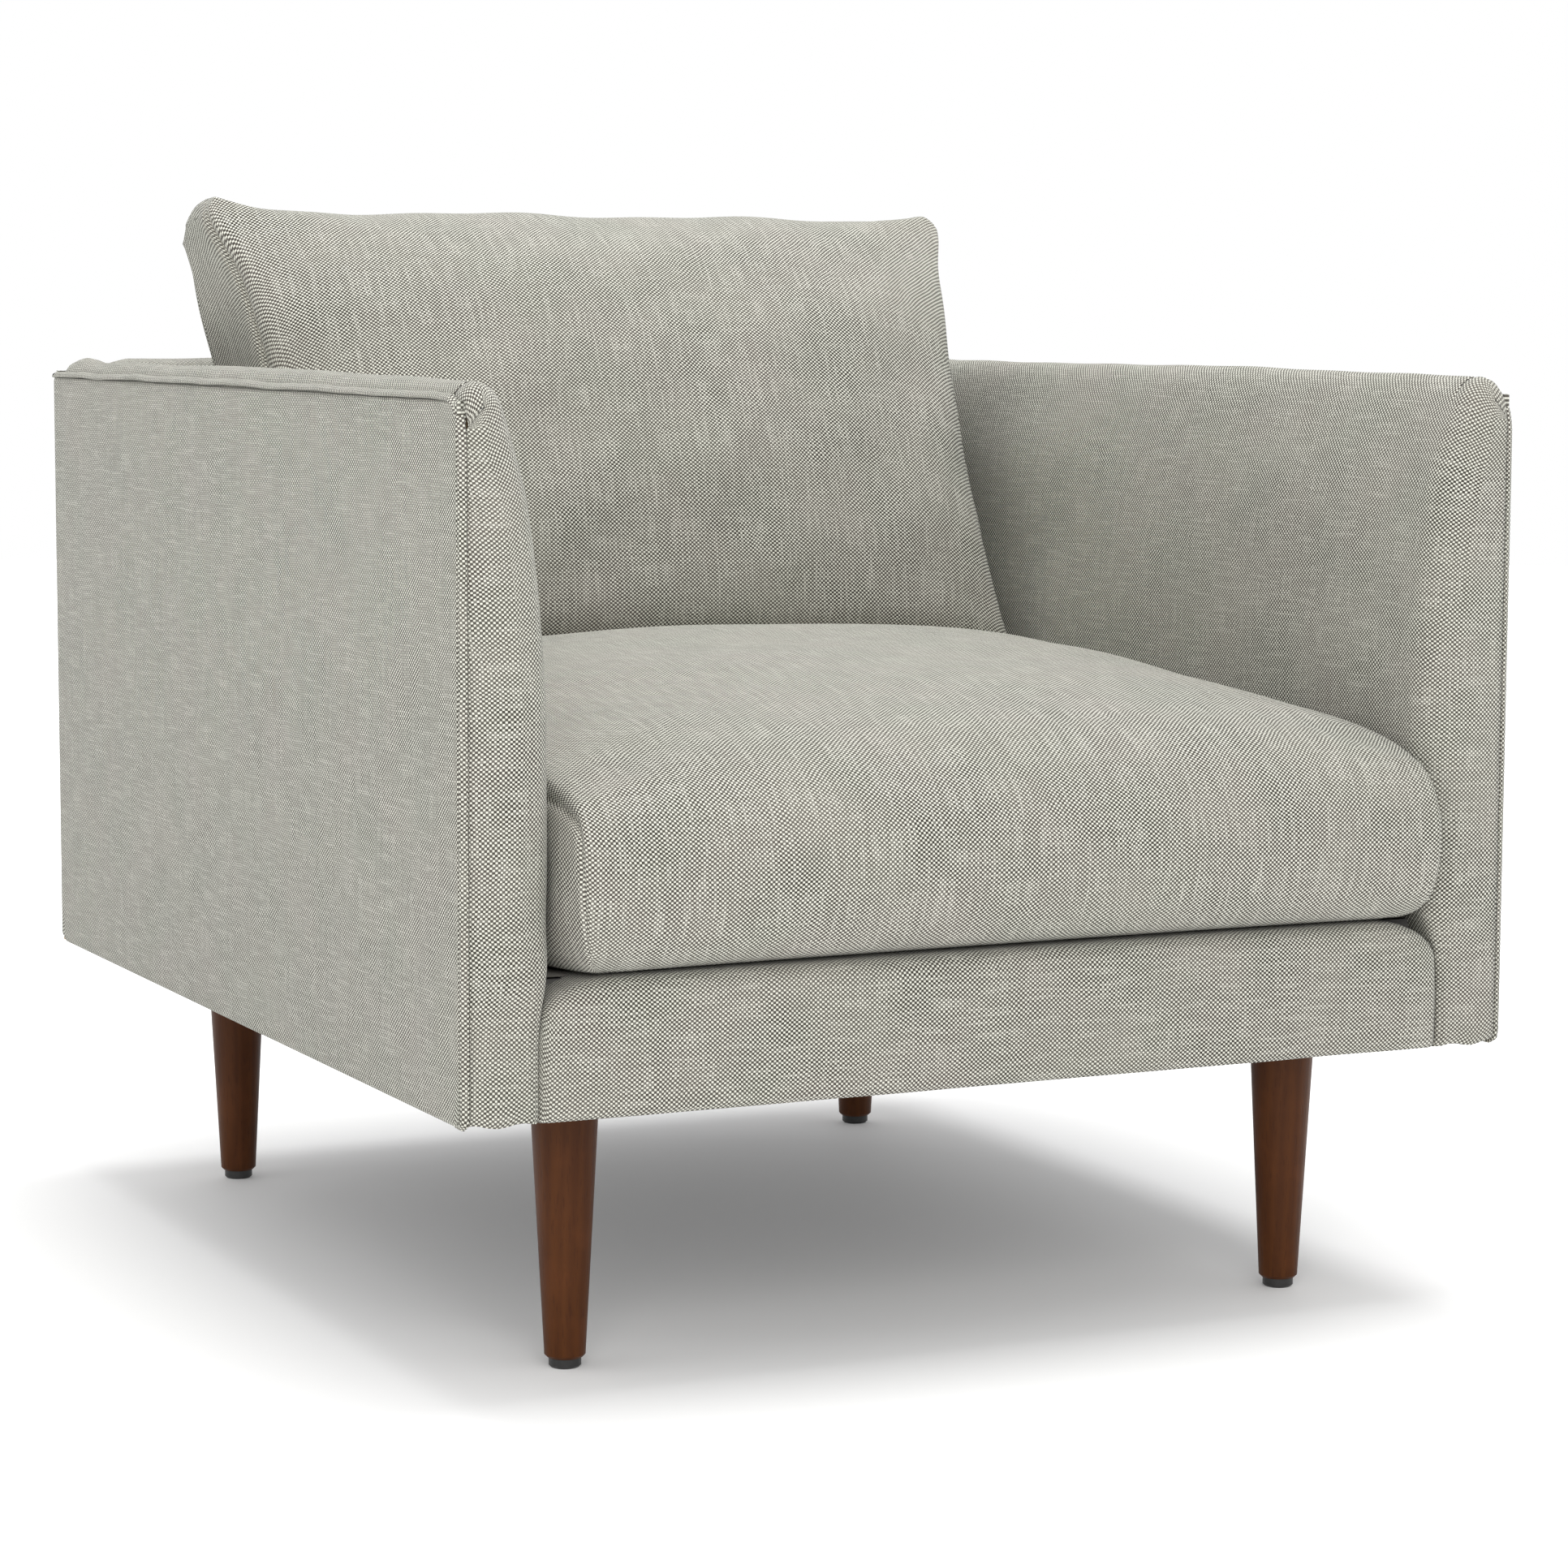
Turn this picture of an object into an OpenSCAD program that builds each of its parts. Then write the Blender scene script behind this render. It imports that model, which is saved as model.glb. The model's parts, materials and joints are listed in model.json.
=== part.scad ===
// Upholstered lounge chair with a loose seat cushion and a loose back cushion.
// Millimetres. +X is the chair's left hand side as seen from the front, -Y is the front,
// +Z is up, and the origin is on the floor under the middle of the chair.

/* [Overall] */
// Width over both arms
chair_w = 810; // [700:5:1100]
// Depth from the front of the rail to the outside back
chair_d = 918; // [780:2:1110]
// Height of the arms
arm_h = 670; // [580:5:800]
// Height of the padded back frame
back_h = 678; // [600:2:810]
// Height of the underside of the body
base_h = 192; // [150:2:235]
// Height of the seat deck that the cushion rests on
deck_h = 285; // [275:1:345]

/* [Arms] */
// Thickness of an arm where its padding is fullest
arm_t = 68; // [60:1:90]
// Width of an arm's front band beside the front rail
arm_band = 54; // [46:1:66]
// Height over which the inner face rolls towards the top
roll_rise = 200; // [140:5:260]
// How far the inner face comes in by the top of the roll
roll_in = 37; // [20:1:44]
// Radius of the arm's top inner edge
edge_r = 12; // [6:1:14]

/* [Back] */
// Thickness of the padded back frame
back_t = 95; // [80:1:120]
// Width of the back webbing straps
strap_w = 50; // [40:5:60]

/* [Front rail] */
// Radius of the rail's top corners, seen from the front
rail_corner_r = 28; // [10:1:32]
// Radius of the rail's long top edge
rail_edge_r = 10; // [4:1:11]

/* [Legs] */
// Leg diameter at the top
leg_top_d = 48; // [40:1:58]
// Leg diameter at the foot
leg_foot_d = 28.5; // [25:0.5:36]
// Distance from the side of the chair to a leg's axis
leg_inset_x = 117; // [100:1:150]
// Distance from the front or the back of the chair to a leg's axis
leg_inset_y = 109; // [90:1:150]
// Glide diameter
glide_d = 22.5; // [18:0.5:25]
// Glide height
glide_h = 7; // [4:0.5:10]
// Diameter of the hanger bolts
bolt_d = 8; // [6:1:10]

/* [Seat cushion] */
// Height of the top of the crown over the deck
seat_crown_t = 190; // [150:2:230]
// How far its top falls from the crown to its rear edge
seat_fall = 90; // [50:2:110]
// How far its top falls from the crown to its sides
seat_side_fall = 72; // [30:2:90]
// Gap between the cushion and each arm
seat_gap = 2; // [1:0.5:10]
// Gap between the cushion and the padded back
seat_back_gap = 14; // [5:1:40]

/* [Back cushion] */
// Gap between the back cushion and each arm
pillow_side_gap = 12; // [8:1:70]
// Height of the back cushion's top over the floor
pillow_top = 805; // [740:5:960]
// Distance of its top front edge behind its bottom front edge
pillow_lean = 170; // [110:5:180]
// Thickness of its foot
pillow_foot = 185; // [160:5:200]

/* [Frame] */
// Thickness of the seat rails
rail_t = 24; // [20:1:28]
// Thickness of the posts and the arm rails, across the arm
post_t = 28; // [22:1:30]
// Width of the posts
post_w = 45; // [35:1:60]
// Number of seat springs
spring_n = 5; // [3:1:6]

/* [Hidden] */
$fn = 96;

// Thin layers
cloth_t = 1.2;
board_t = 2;
inner_board_t = 3;
insulator_t = 1.5;
strap_t = 1.5;
pad_t = 10;
deck_pad_t = 12;
spare = 0.3;

half_w = chair_w / 2;
half_d = chair_d / 2;

// Arm layers, measured inwards from the chair's side
u_board = cloth_t;
u_post = u_board + board_t;
u_inner = u_post + post_t;
u_foam = u_inner + inner_board_t;

// Timber heights
timber_z = base_h + cloth_t;
rail_drop = 20;
rail_top_z = deck_h - rail_drop;
bearer_t = 25;
bearer_w = 70;
arm_rail_h = 48;
arm_rail_drop = 18;
arm_rail_top = arm_h - arm_rail_drop;
arm_rail_z = arm_rail_top - arm_rail_h;
back_rail_h = 60;
back_rail_drop = 26;
back_rail_top = back_h - back_rail_drop;
lower_rail_z = rail_top_z + 40;

// Fore and aft places of the timber
post_y = -half_d + cloth_t + pad_t;
rear_y = half_d - cloth_t - board_t;
rear_post_y = rear_y - post_w;
inner_y = half_d - back_t;
back_frame_y = rear_y - post_t;
foam_rear_y = back_frame_y - strap_t - spare;
rail_inner_y = post_y + rail_t;
rear_rail_y = rear_y - rail_t;

// Arm roll
roll_z = arm_h - roll_rise;
roll_r = (pow(roll_rise, 2) + pow(roll_in, 2)) / (2 * roll_in);
roll_u = arm_t - roll_r;
edge_v = arm_h - edge_r;
roll_sin = (edge_v - roll_z) / (roll_r - edge_r);
edge_u = roll_u + (roll_r - edge_r) * sqrt(1 - roll_sin * roll_sin);
tangent_v = roll_z + roll_r * roll_sin;

// Seat suspension
wire = 4;
spring_pitch_aim = 36;
spring_hold = 4.2;
spring_reach = 22;
spring_z = rail_top_z + 0.6;
clip_w = 18;
clip_d = 12;
clip_h = wire + 1.2;
spring_y = rail_inner_y - spring_hold;
spring_run = rear_rail_y + spring_hold - spring_y;
spring_turns = 2 * round(spring_run / (2 * spring_pitch_aim));
spring_pitch = spring_run / spring_turns;
insulator_z = deck_h - cloth_t - deck_pad_t - insulator_t;
deck_y = rail_inner_y + 4;
deck_half = half_w - u_foam - spare;
strap_n = 4;

// Seat cushion
seat_half = half_w - arm_t - seat_gap;
seat_front = -half_d;
seat_rear = inner_y - seat_back_gap;
seat_z = deck_h + spare;
seat_crown_z = deck_h + seat_crown_t;
crown_share = 0.42;
seat_crown_y = seat_front + crown_share * (seat_rear - seat_front);
crown_run = seat_rear - seat_crown_y;
crown_r_side = (pow(crown_run, 2) + pow(seat_fall, 2)) / (2 * seat_fall);
crown_lift = 4;
side_drop = seat_side_fall + crown_lift;
crown_r_front = (pow(seat_half, 2) + pow(side_drop, 2)) / (2 * side_drop);
cover_t = 1.5;
pillow_seat_d = 235;

// Back cushion. Its foot lies on the seat cushion, along a tangent to the crown.
pillow_w = chair_w - 2 * (arm_t + pillow_side_gap);
pillow_y = seat_rear - pillow_seat_d;
pillow_rear = inner_y - 2;
pillow_shoulder_z = pillow_top - 30;
foot_mid_y = pillow_y + pillow_foot / 2;
foot_tilt = asin((foot_mid_y - seat_crown_y) / crown_r_side);
foot_mid_z = foot_z(foot_mid_y);

function foot_z(y) = seat_crown_z - crown_r_side
  + (crown_r_side + spare - sin(foot_tilt) * (y - seat_crown_y)) / cos(foot_tilt);

// Zips
zip_h = 14;
zip_depth = 5;
zip_tape_t = 1.5;
zip_w = 8;
slider_t = 2.6;
seat_zip_z = seat_z + 60;
seat_zip_half = 0.8 * seat_half;
pillow_zip_half = 0.4 * pillow_w;

// Legs and fastenings
leg_x = half_w - leg_inset_x;
leg_y = half_d - leg_inset_y;
foot_chamfer = 2;
bolt_in_leg = 40;
bolt_in_body = 30;
fit_gap = 0.05;
nut_d = bolt_d + 4;
nut_flange_d = bolt_d + 14;
nut_flange_t = 1.5;
nail_d = 2.5;
nail_head_d = 8;
nail_l = 16;
block_l = 60;
block_h = 38;
block_z = timber_z + bearer_t + 2;
screw_d = 4;
screw_head_d = 8;
screw_l = 40;
rail_screw_d = 6;
rail_screw_l = 80;

// ---- shared shapes ----

// A block between two corners
module block(low, high) {
  translate(low)
    cube([high.x - low.x, high.y - low.y, high.z - low.z]);
}

// Draws a piece on one side of the chair. Its own X is measured inwards from that side.
module on_side(side) {
  translate([side * half_w, 0, 0])
    mirror([side > 0 ? 1 : 0, 0, 0])
      children();
}

// Extrudes a flat X-Z outline along Y
module along_y(from, to) {
  translate([0, to, 0])
    rotate([90, 0, 0])
      linear_extrude(height = to - from)
        children();
}

// Extrudes a flat Y-Z outline along X
module along_x(from, to) {
  translate([from, 0, 0])
    rotate([90, 0, 90])
      linear_extrude(height = to - from)
        children();
}

// Places a piece at every leg
module at_legs() {
  for (sx = [-1, 1], sy = [-1, 1])
    translate([sx * leg_x, sy * leg_y, 0])
      children();
}

// ---- arm sections ----

// The padded arm's outline above the deck, inset from its inner face and its top
module arm_outline(inset) {
  intersection() {
    translate([u_board, deck_h])
      square([arm_t - inset - u_board, tangent_v - deck_h]);
    union() {
      translate([u_board, deck_h])
        square([arm_t - u_board, roll_z - deck_h]);
      translate([roll_u, roll_z])
        circle(r = roll_r - inset, $fn = 360);
    }
  }
  translate([u_board, deck_h])
    square([edge_u - u_board, arm_h - inset - deck_h]);
  translate([edge_u, edge_v])
    circle(r = edge_r - inset);
}

// The padded arm, inset from its inner face, its top and its front
module arm_body(inset) {
  along_y(-half_d + inset, foam_rear_y)
    arm_outline(inset);
  block([u_board, -half_d + inset, timber_z - cloth_t + inset], [arm_band - inset, post_y, deck_h]);
  block([u_board, foam_rear_y - spare, arm_rail_top], [u_foam - spare, rear_y, arm_h - inset]);
}

// The room that the timber and the boards take inside an arm
module arm_core() {
  block([0, post_y, 0], [u_foam, half_d, arm_rail_top]);
}

// ---- front rail sections ----

// The padded front rail, inset from its front, its top and its ends
module rail_body(inset) {
  half = half_w - arm_band - spare - inset;
  top = deck_h - inset;
  corner = rail_corner_r - inset;
  edge = rail_edge_r - inset;
  front = -half_d + inset;
  intersection() {
    along_y(front, deck_y) {
      translate([-half, base_h])
        square([2 * half, top - corner - base_h]);
      translate([-half + corner, base_h])
        square([2 * (half - corner), top - base_h]);
      for (side = [-1, 1])
        translate([side * (half - corner), top - corner])
          circle(r = corner);
    }
    along_x(-half_w, half_w) {
      translate([front, base_h])
        square([deck_y - front, top - edge - base_h]);
      translate([front + edge, base_h])
        square([deck_y - front - edge, top - base_h]);
      translate([front + edge, top - edge])
        circle(r = edge);
    }
  }
}

// ---- fastenings that the timber is bored for ----

// Screws that hold the four corner blocks, grown by the gap of their holes
module corner_screw_set(gap) {
  for (sx = [-1, 1], sy = [-1, 1])
    mirror([sx > 0 ? 0 : 1, 0, 0])
      mirror([0, sy > 0 ? 0 : 1, 0]) {
        rail_face_y = sy > 0 ? rear_rail_y : -rail_inner_y;
        screw_z = block_z + block_h / 2;
        translate([half_w - u_inner - screw_l / 2, rail_face_y - block_l / 3, screw_z - 8])
          rotate([0, 90, 0])
            wood_screw(screw_l, screw_d, screw_head_d, gap);
        translate([half_w - u_inner - block_l / 3, rail_face_y - screw_l / 2, screw_z + 8])
          rotate([-90, 0, 0])
            wood_screw(screw_l, screw_d, screw_head_d, gap);
      }
}

// Long screws through the arm posts into the ends of the front and rear rails
module rail_screw_set(gap) {
  for (sx = [-1, 1], y = [post_y + rail_t / 2, rear_y - rail_t / 2], z = [0.2, 0.55])
    mirror([sx > 0 ? 0 : 1, 0, 0])
      translate([half_w - u_post, y, timber_z + z * (rail_top_z - timber_z)])
        rotate([0, -90, 0])
          wood_screw(rail_screw_l, rail_screw_d, 2 * rail_screw_d, gap);
}

// A countersunk screw that points along +Z from its head
module wood_screw(length, d, head_d, gap) {
  head_h = (head_d - d) / 2;
  cylinder(d1 = head_d + 2 * gap, d2 = d + 2 * gap, h = head_h);
  translate([0, 0, head_h])
    cylinder(d = d + 2 * gap, h = length - head_h + gap);
}

// ---- cushion sections ----

// The seat cushion, inset all round
module seat_body(inset) {
  intersection() {
    along_x(-seat_half + inset, seat_half - inset) {
      intersection() {
        translate([seat_front + inset, seat_z + inset])
          square([seat_rear - seat_front - 2 * inset, seat_crown_t]);
        translate([seat_crown_y, seat_crown_z - crown_r_side])
          circle(r = crown_r_side - inset, $fn = 360);
      }
    }
    along_y(seat_front, seat_rear) {
      intersection() {
        translate([-seat_half, seat_z])
          square([2 * seat_half, 2 * seat_crown_t]);
        translate([0, seat_crown_z + crown_lift - crown_r_front])
          circle(r = crown_r_front - inset, $fn = 360);
      }
    }
  }
}

// The groove that the seat cushion's zip lies in, grown by a wall
module seat_zip_groove(wall) {
  block([-seat_zip_half - wall, seat_rear - zip_depth - wall, seat_zip_z - zip_h / 2 - wall],
    [seat_zip_half + wall, seat_rear + 1, seat_zip_z + zip_h / 2 + wall]);
}

// The back cushion, inset all round
module pillow_body(inset) {
  foot_rear_y = pillow_y + pillow_foot;
  rise = pillow_top - foot_z(pillow_y);
  slope = pillow_lean / rise;
  front_y = pillow_y + inset * sqrt(1 + slope * slope);
  lift = inset / cos(foot_tilt);
  rear = pillow_rear - inset;
  along_x(-pillow_w / 2 + inset, pillow_w / 2 - inset)
    polygon([
      [front_y, foot_z(front_y) + lift],
      [front_y + slope * (rise - inset), pillow_top - inset],
      [rear, pillow_shoulder_z - inset],
      [rear, foot_z(foot_rear_y) + pillow_foot],
      [foot_rear_y - 2 * inset, foot_z(foot_rear_y - 2 * inset) + lift]]);
}

// Places a piece in the middle of the back cushion's foot, with its own +Z pointing into the cushion
module at_foot() {
  translate([0, foot_mid_y, foot_mid_z])
    rotate([-foot_tilt, 0, 0])
      children();
}

// The groove that the back cushion's zip lies in, under its foot, grown by a wall
module pillow_zip_groove(wall) {
  at_foot()
    block([-pillow_zip_half - wall, -zip_h / 2 - wall, -1],
      [pillow_zip_half + wall, zip_h / 2 + wall, zip_depth + wall]);
}

// ---- timber frame ----

module seat_rail_front() {
  color("burlywood")
    difference() {
      block([-half_w + u_inner, post_y, timber_z], [half_w - u_inner, rail_inner_y, rail_top_z]);
      corner_screw_set(fit_gap);
      rail_screw_set(fit_gap);
    }
}

module seat_rail_rear() {
  color("burlywood")
    difference() {
      block([-half_w + u_inner, rear_rail_y, timber_z], [half_w - u_inner, rear_y, rail_top_z]);
      corner_screw_set(fit_gap);
      rail_screw_set(fit_gap);
    }
}

module seat_rail_side(side) {
  color("burlywood")
    difference() {
      on_side(side)
        block([u_post, post_y + post_w, timber_z], [u_inner, rear_post_y, rail_top_z]);
      corner_screw_set(fit_gap);
    }
}

// A board between the front and rear rails that carries the legs of one side
module leg_bearer(side) {
  color("burlywood")
    difference() {
      block([side * leg_x - bearer_w / 2, rail_inner_y, timber_z],
        [side * leg_x + bearer_w / 2, rear_rail_y, timber_z + bearer_t]);
      at_legs()
        translate([0, 0, timber_z - 1])
          cylinder(d = nut_d + 2 * fit_gap, h = bearer_t + 2);
    }
}

module corner_blocks() {
  color("tan")
    difference() {
      for (sx = [-1, 1], sy = [-1, 1])
        mirror([sx > 0 ? 0 : 1, 0, 0])
          mirror([0, sy > 0 ? 0 : 1, 0])
            translate([half_w - u_inner, sy > 0 ? rear_rail_y : -rail_inner_y, block_z])
              linear_extrude(height = block_h)
                polygon([[0, 0], [-block_l, 0], [-block_l, -screw_l / 2], [-screw_l / 2, -block_l],
                  [0, -block_l]]);
      corner_screw_set(fit_gap);
    }
}

module corner_screws() {
  color("silver")
    corner_screw_set(0);
}

module rail_screws() {
  color("silver")
    rail_screw_set(0);
}

module arm_post(side) {
  color("burlywood")
    difference() {
      on_side(side)
        block([u_post, post_y, timber_z], [u_inner, post_y + post_w, arm_rail_z]);
      corner_screw_set(fit_gap);
      rail_screw_set(fit_gap);
    }
}

module arm_rear_post(side) {
  color("burlywood")
    difference() {
      on_side(side)
        block([u_post, rear_post_y, timber_z], [u_inner, rear_y, arm_rail_z]);
      corner_screw_set(fit_gap);
      rail_screw_set(fit_gap);
    }
}

module arm_rail(side) {
  color("burlywood")
    on_side(side)
      block([u_post, post_y, arm_rail_z], [u_inner, rear_y, arm_rail_top]);
}

module back_post(side) {
  color("burlywood")
    on_side(side)
      block([u_foam, back_frame_y, rail_top_z], [u_foam + post_w, rear_y, back_rail_top - back_rail_h]);
}

module back_top_rail() {
  color("burlywood")
    block([-half_w + u_foam, back_frame_y, back_rail_top - back_rail_h],
      [half_w - u_foam, rear_y, back_rail_top]);
}

module back_lower_rail() {
  color("burlywood")
    block([-half_w + u_foam + post_w, back_frame_y, lower_rail_z],
      [half_w - u_foam - post_w, rear_y, lower_rail_z + back_rail_h]);
}

// ---- boards ----

module arm_inner_board(side) {
  color("peru")
    on_side(side)
      block([u_inner, post_y, deck_h], [u_foam, back_frame_y - strap_t, arm_rail_top - 4]);
}

module arm_outer_board(side) {
  color("peru")
    on_side(side)
      block([u_board, post_y, timber_z], [u_post, rear_y, arm_rail_top - 16]);
}

module back_board() {
  color("peru")
    block([-half_w + u_post, rear_y, timber_z], [half_w - u_post, rear_y + board_t, back_rail_top - 8]);
}

// The card strip that holds the top edge of a side panel straight
module tack_strip(side) {
  color("gray")
    on_side(side)
      block([u_board, post_y, arm_rail_top - 14], [u_post, rear_y, arm_rail_top - 2]);
}

// ---- seat suspension ----

// One side of a spring wire's path. It zigzags along +Y between two rows of half circles.
function wire_edge(n, edge) = [
  for (k = [0 : n - 1], step = [0 : 4])
    let (turn = k % 2 == 0 ? 1 : -1, angle = step * 45, r = spring_pitch / 2 + turn * edge)
      [turn * (spring_reach + r * sin(angle)), (k + 0.5) * spring_pitch - r * cos(angle)]];

function reversed(points) = [for (k = [len(points) - 1 : -1 : 0]) points[k]];

function spring_x(k) = (k - (spring_n - 1) / 2) * 2 * deck_half / (spring_n + 0.6);

module seat_springs() {
  color("dimgray")
    for (k = [0 : spring_n - 1])
      translate([spring_x(k), spring_y, spring_z])
        linear_extrude(height = wire)
          polygon(concat(
            [[-spring_reach, wire / 2], [-spring_reach, -wire / 2]],
            wire_edge(spring_turns, wire / 2),
            [[spring_reach, spring_run - wire / 2],
              [spring_reach, spring_run + wire / 2]],
            reversed(wire_edge(spring_turns, -wire / 2))));
}

// Folded steel clips that hold the end bars of the springs on the rails
module spring_clips() {
  color("lightgray")
    difference() {
      for (k = [0 : spring_n - 1], end = [0, 1])
        translate([spring_x(k) - clip_w / 2,
            spring_y + end * spring_run - clip_d / 2, rail_top_z])
          cube([clip_w, clip_d, clip_h]);
      for (k = [0 : spring_n - 1], end = [0, 1])
        translate([spring_x(k) - clip_w, spring_y + end * spring_run
            - wire / 2 - fit_gap, spring_z - fit_gap])
          cube([2 * clip_w, wire + 2 * fit_gap, wire + 2 * fit_gap]);
    }
}

module spring_insulator() {
  color("wheat")
    block([-deck_half, deck_y, insulator_z],
      [deck_half, back_frame_y - strap_t, insulator_z + insulator_t]);
}

module deck_pad() {
  color("white")
    block([-deck_half, deck_y, insulator_z + insulator_t],
      [deck_half, back_frame_y - strap_t, deck_h - cloth_t]);
}

module deck_cloth() {
  color("darkgray")
    block([-deck_half, deck_y, deck_h - cloth_t], [deck_half, back_frame_y - strap_t, deck_h]);
}

module back_webbing() {
  first_z = lower_rail_z + back_rail_h;
  pitch = (back_rail_top - back_rail_h - first_z) / strap_n;
  color("black")
    for (k = [0 : strap_n - 1])
      translate([-half_w + u_foam, back_frame_y - strap_t, first_z + (k + 0.5) * pitch - strap_w / 2])
        cube([chair_w - 2 * u_foam, strap_t, strap_w]);
}

// ---- padding ----

module arm_foam(side) {
  color("lightyellow")
    on_side(side)
      difference() {
        arm_body(cloth_t);
        arm_core();
      }
}

// The padding in front of the back frame and over its top rail, inset from its front and its top
module back_body(inset) {
  half = half_w - arm_t - spare;
  block([-half, inner_y + inset, deck_h], [half, foam_rear_y, back_h - inset]);
  block([-half_w + u_foam, foam_rear_y - spare, back_rail_top], [half_w - u_foam, rear_y, back_h - inset]);
}

module back_foam() {
  color("lightyellow")
    back_body(cloth_t);
}

module rail_foam() {
  color("lightyellow")
    difference() {
      rail_body(cloth_t);
      block([-half_w, post_y, 0], [half_w, half_d, insulator_z]);
    }
}

// ---- covers ----

// The cloth over the inner face, the top and the front of an arm
module arm_cover(side) {
  color("silver")
    on_side(side)
      difference() {
        arm_body(0);
        arm_body(cloth_t);
        arm_core();
      }
}

module arm_side_panel(side) {
  color("silver")
    on_side(side)
      block([0, -half_d, base_h], [u_board, rear_y + board_t, arm_h - edge_r / 2]);
}

module inside_back_cover() {
  color("silver")
    difference() {
      back_body(0);
      back_body(cloth_t);
    }
}

module outside_back_panel() {
  color("silver")
    block([-half_w, rear_y + board_t, base_h], [half_w, half_d, back_h - edge_r / 2]);
}

module front_rail_cover() {
  color("silver")
    difference() {
      rail_body(0);
      rail_body(cloth_t);
      block([-half_w, post_y, 0], [half_w, half_d, insulator_z]);
    }
}

// The thin black cloth under the body
module dust_cover() {
  color("black")
    difference() {
      block([-half_w + u_post, post_y, base_h], [half_w - u_post, rear_y, timber_z]);
      at_legs()
        translate([0, 0, base_h - 1])
          cylinder(d = nut_d, h = cloth_t + 2);
    }
}

// ---- legs ----

module leg(side, end) {
  color("saddlebrown")
    translate([side * leg_x, end * leg_y, 0])
      difference() {
        rotate_extrude()
          polygon([
            [0, glide_h],
            [leg_foot_d / 2 - foot_chamfer, glide_h],
            [leg_foot_d / 2, glide_h + foot_chamfer],
            [leg_top_d / 2, base_h],
            [0, base_h]]);
        translate([0, 0, base_h - bolt_in_leg])
          cylinder(d = bolt_d + 2 * fit_gap, h = bolt_in_leg + 1);
        cylinder(d = nail_d + 2 * fit_gap, h = nail_l + fit_gap);
      }
}

module hanger_bolts() {
  color("silver")
    at_legs()
      translate([0, 0, base_h - bolt_in_leg])
        cylinder(d = bolt_d, h = bolt_in_leg + bolt_in_body);
}

// Flanged nuts set into the bearers from above
module insert_nuts() {
  color("silver")
    at_legs()
      difference() {
        union() {
          translate([0, 0, timber_z + 3])
            cylinder(d = nut_d, h = bearer_t - 3);
          translate([0, 0, timber_z + bearer_t])
            cylinder(d = nut_flange_d, h = nut_flange_t);
        }
        cylinder(d = bolt_d + 2 * fit_gap, h = deck_h);
      }
}

module glides() {
  color("black")
    at_legs()
      difference() {
        rotate_extrude()
          polygon([
            [0, 0],
            [glide_d / 2 - 1.5, 0],
            [glide_d / 2, 1.5],
            [glide_d / 2, glide_h],
            [0, glide_h]]);
        translate([0, 0, glide_h - 3])
          cylinder(d = nail_head_d + 2 * fit_gap, h = 1.5 + fit_gap);
        translate([0, 0, glide_h - 2])
          cylinder(d = nail_d + 2 * fit_gap, h = 3);
      }
}

// Nails that hold the glides, with their heads moulded in
module glide_nails() {
  color("silver")
    at_legs() {
      translate([0, 0, glide_h - 3 + fit_gap])
        cylinder(d = nail_head_d, h = 1.4);
      translate([0, 0, glide_h - 2])
        cylinder(d = nail_d, h = nail_l - glide_h + 2);
    }
}

// ---- seat cushion ----

module seat_cushion_cover() {
  color("silver")
    difference() {
      seat_body(0);
      difference() {
        seat_body(cover_t);
        seat_zip_groove(cover_t);
      }
      seat_zip_groove(0);
    }
}

module seat_cushion_core() {
  color("lightyellow")
    difference() {
      seat_body(cover_t);
      seat_zip_groove(cover_t);
    }
}

module seat_zip() {
  color("gray")
    block([-seat_zip_half, seat_rear - zip_depth, seat_zip_z - zip_h / 2],
      [seat_zip_half, seat_rear - zip_depth + zip_tape_t, seat_zip_z + zip_h / 2]);
}

// A zip's slider and its pull, lying on the tape. It is drawn facing +Z.
module zip_slider() {
  translate([0, -3, 0])
    cube([zip_w, 6, slider_t]);
  translate([1.5, -zip_h / 2 + 0.5, slider_t - 1])
    cube([zip_w - 3, zip_h / 2, 1]);
}

module seat_zip_slider() {
  color("gray")
    translate([-seat_zip_half + 2, seat_rear - zip_depth + zip_tape_t + spare, seat_zip_z])
      mirror([0, 0, 1])
        rotate([-90, 0, 0])
          mirror([0, 1, 0])
            zip_slider();
}

// ---- back cushion ----

module back_cushion_cover() {
  color("silver")
    difference() {
      pillow_body(0);
      difference() {
        pillow_body(cover_t);
        pillow_zip_groove(cover_t);
      }
      pillow_zip_groove(0);
    }
}

module back_cushion_core() {
  color("lightyellow")
    difference() {
      pillow_body(cover_t);
      pillow_zip_groove(cover_t);
    }
}

module back_zip() {
  color("gray")
    at_foot()
      block([-pillow_zip_half, -zip_h / 2, zip_depth - zip_tape_t], [pillow_zip_half, zip_h / 2, zip_depth]);
}

module back_zip_slider() {
  color("gray")
    at_foot()
      translate([-pillow_zip_half + 2, 0, zip_depth - zip_tape_t - spare])
        mirror([0, 0, 1])
          zip_slider();
}

seat_rail_front();
seat_rail_rear();
seat_rail_side(-1);  // seat_rail_left
seat_rail_side(1);  // seat_rail_right
leg_bearer(-1);  // leg_bearer_left
leg_bearer(1);  // leg_bearer_right
corner_blocks();
corner_screws();
rail_screws();
arm_post(-1);  // arm_post_left
arm_post(1);  // arm_post_right
arm_rear_post(-1);  // arm_rear_post_left
arm_rear_post(1);  // arm_rear_post_right
arm_rail(-1);  // arm_rail_left
arm_rail(1);  // arm_rail_right
back_post(-1);  // back_post_left
back_post(1);  // back_post_right
back_top_rail();
back_lower_rail();
arm_inner_board(-1);  // arm_inner_board_left
arm_inner_board(1);  // arm_inner_board_right
arm_outer_board(-1);  // arm_outer_board_left
arm_outer_board(1);  // arm_outer_board_right
back_board();
tack_strip(-1);  // tack_strip_left
tack_strip(1);  // tack_strip_right
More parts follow.
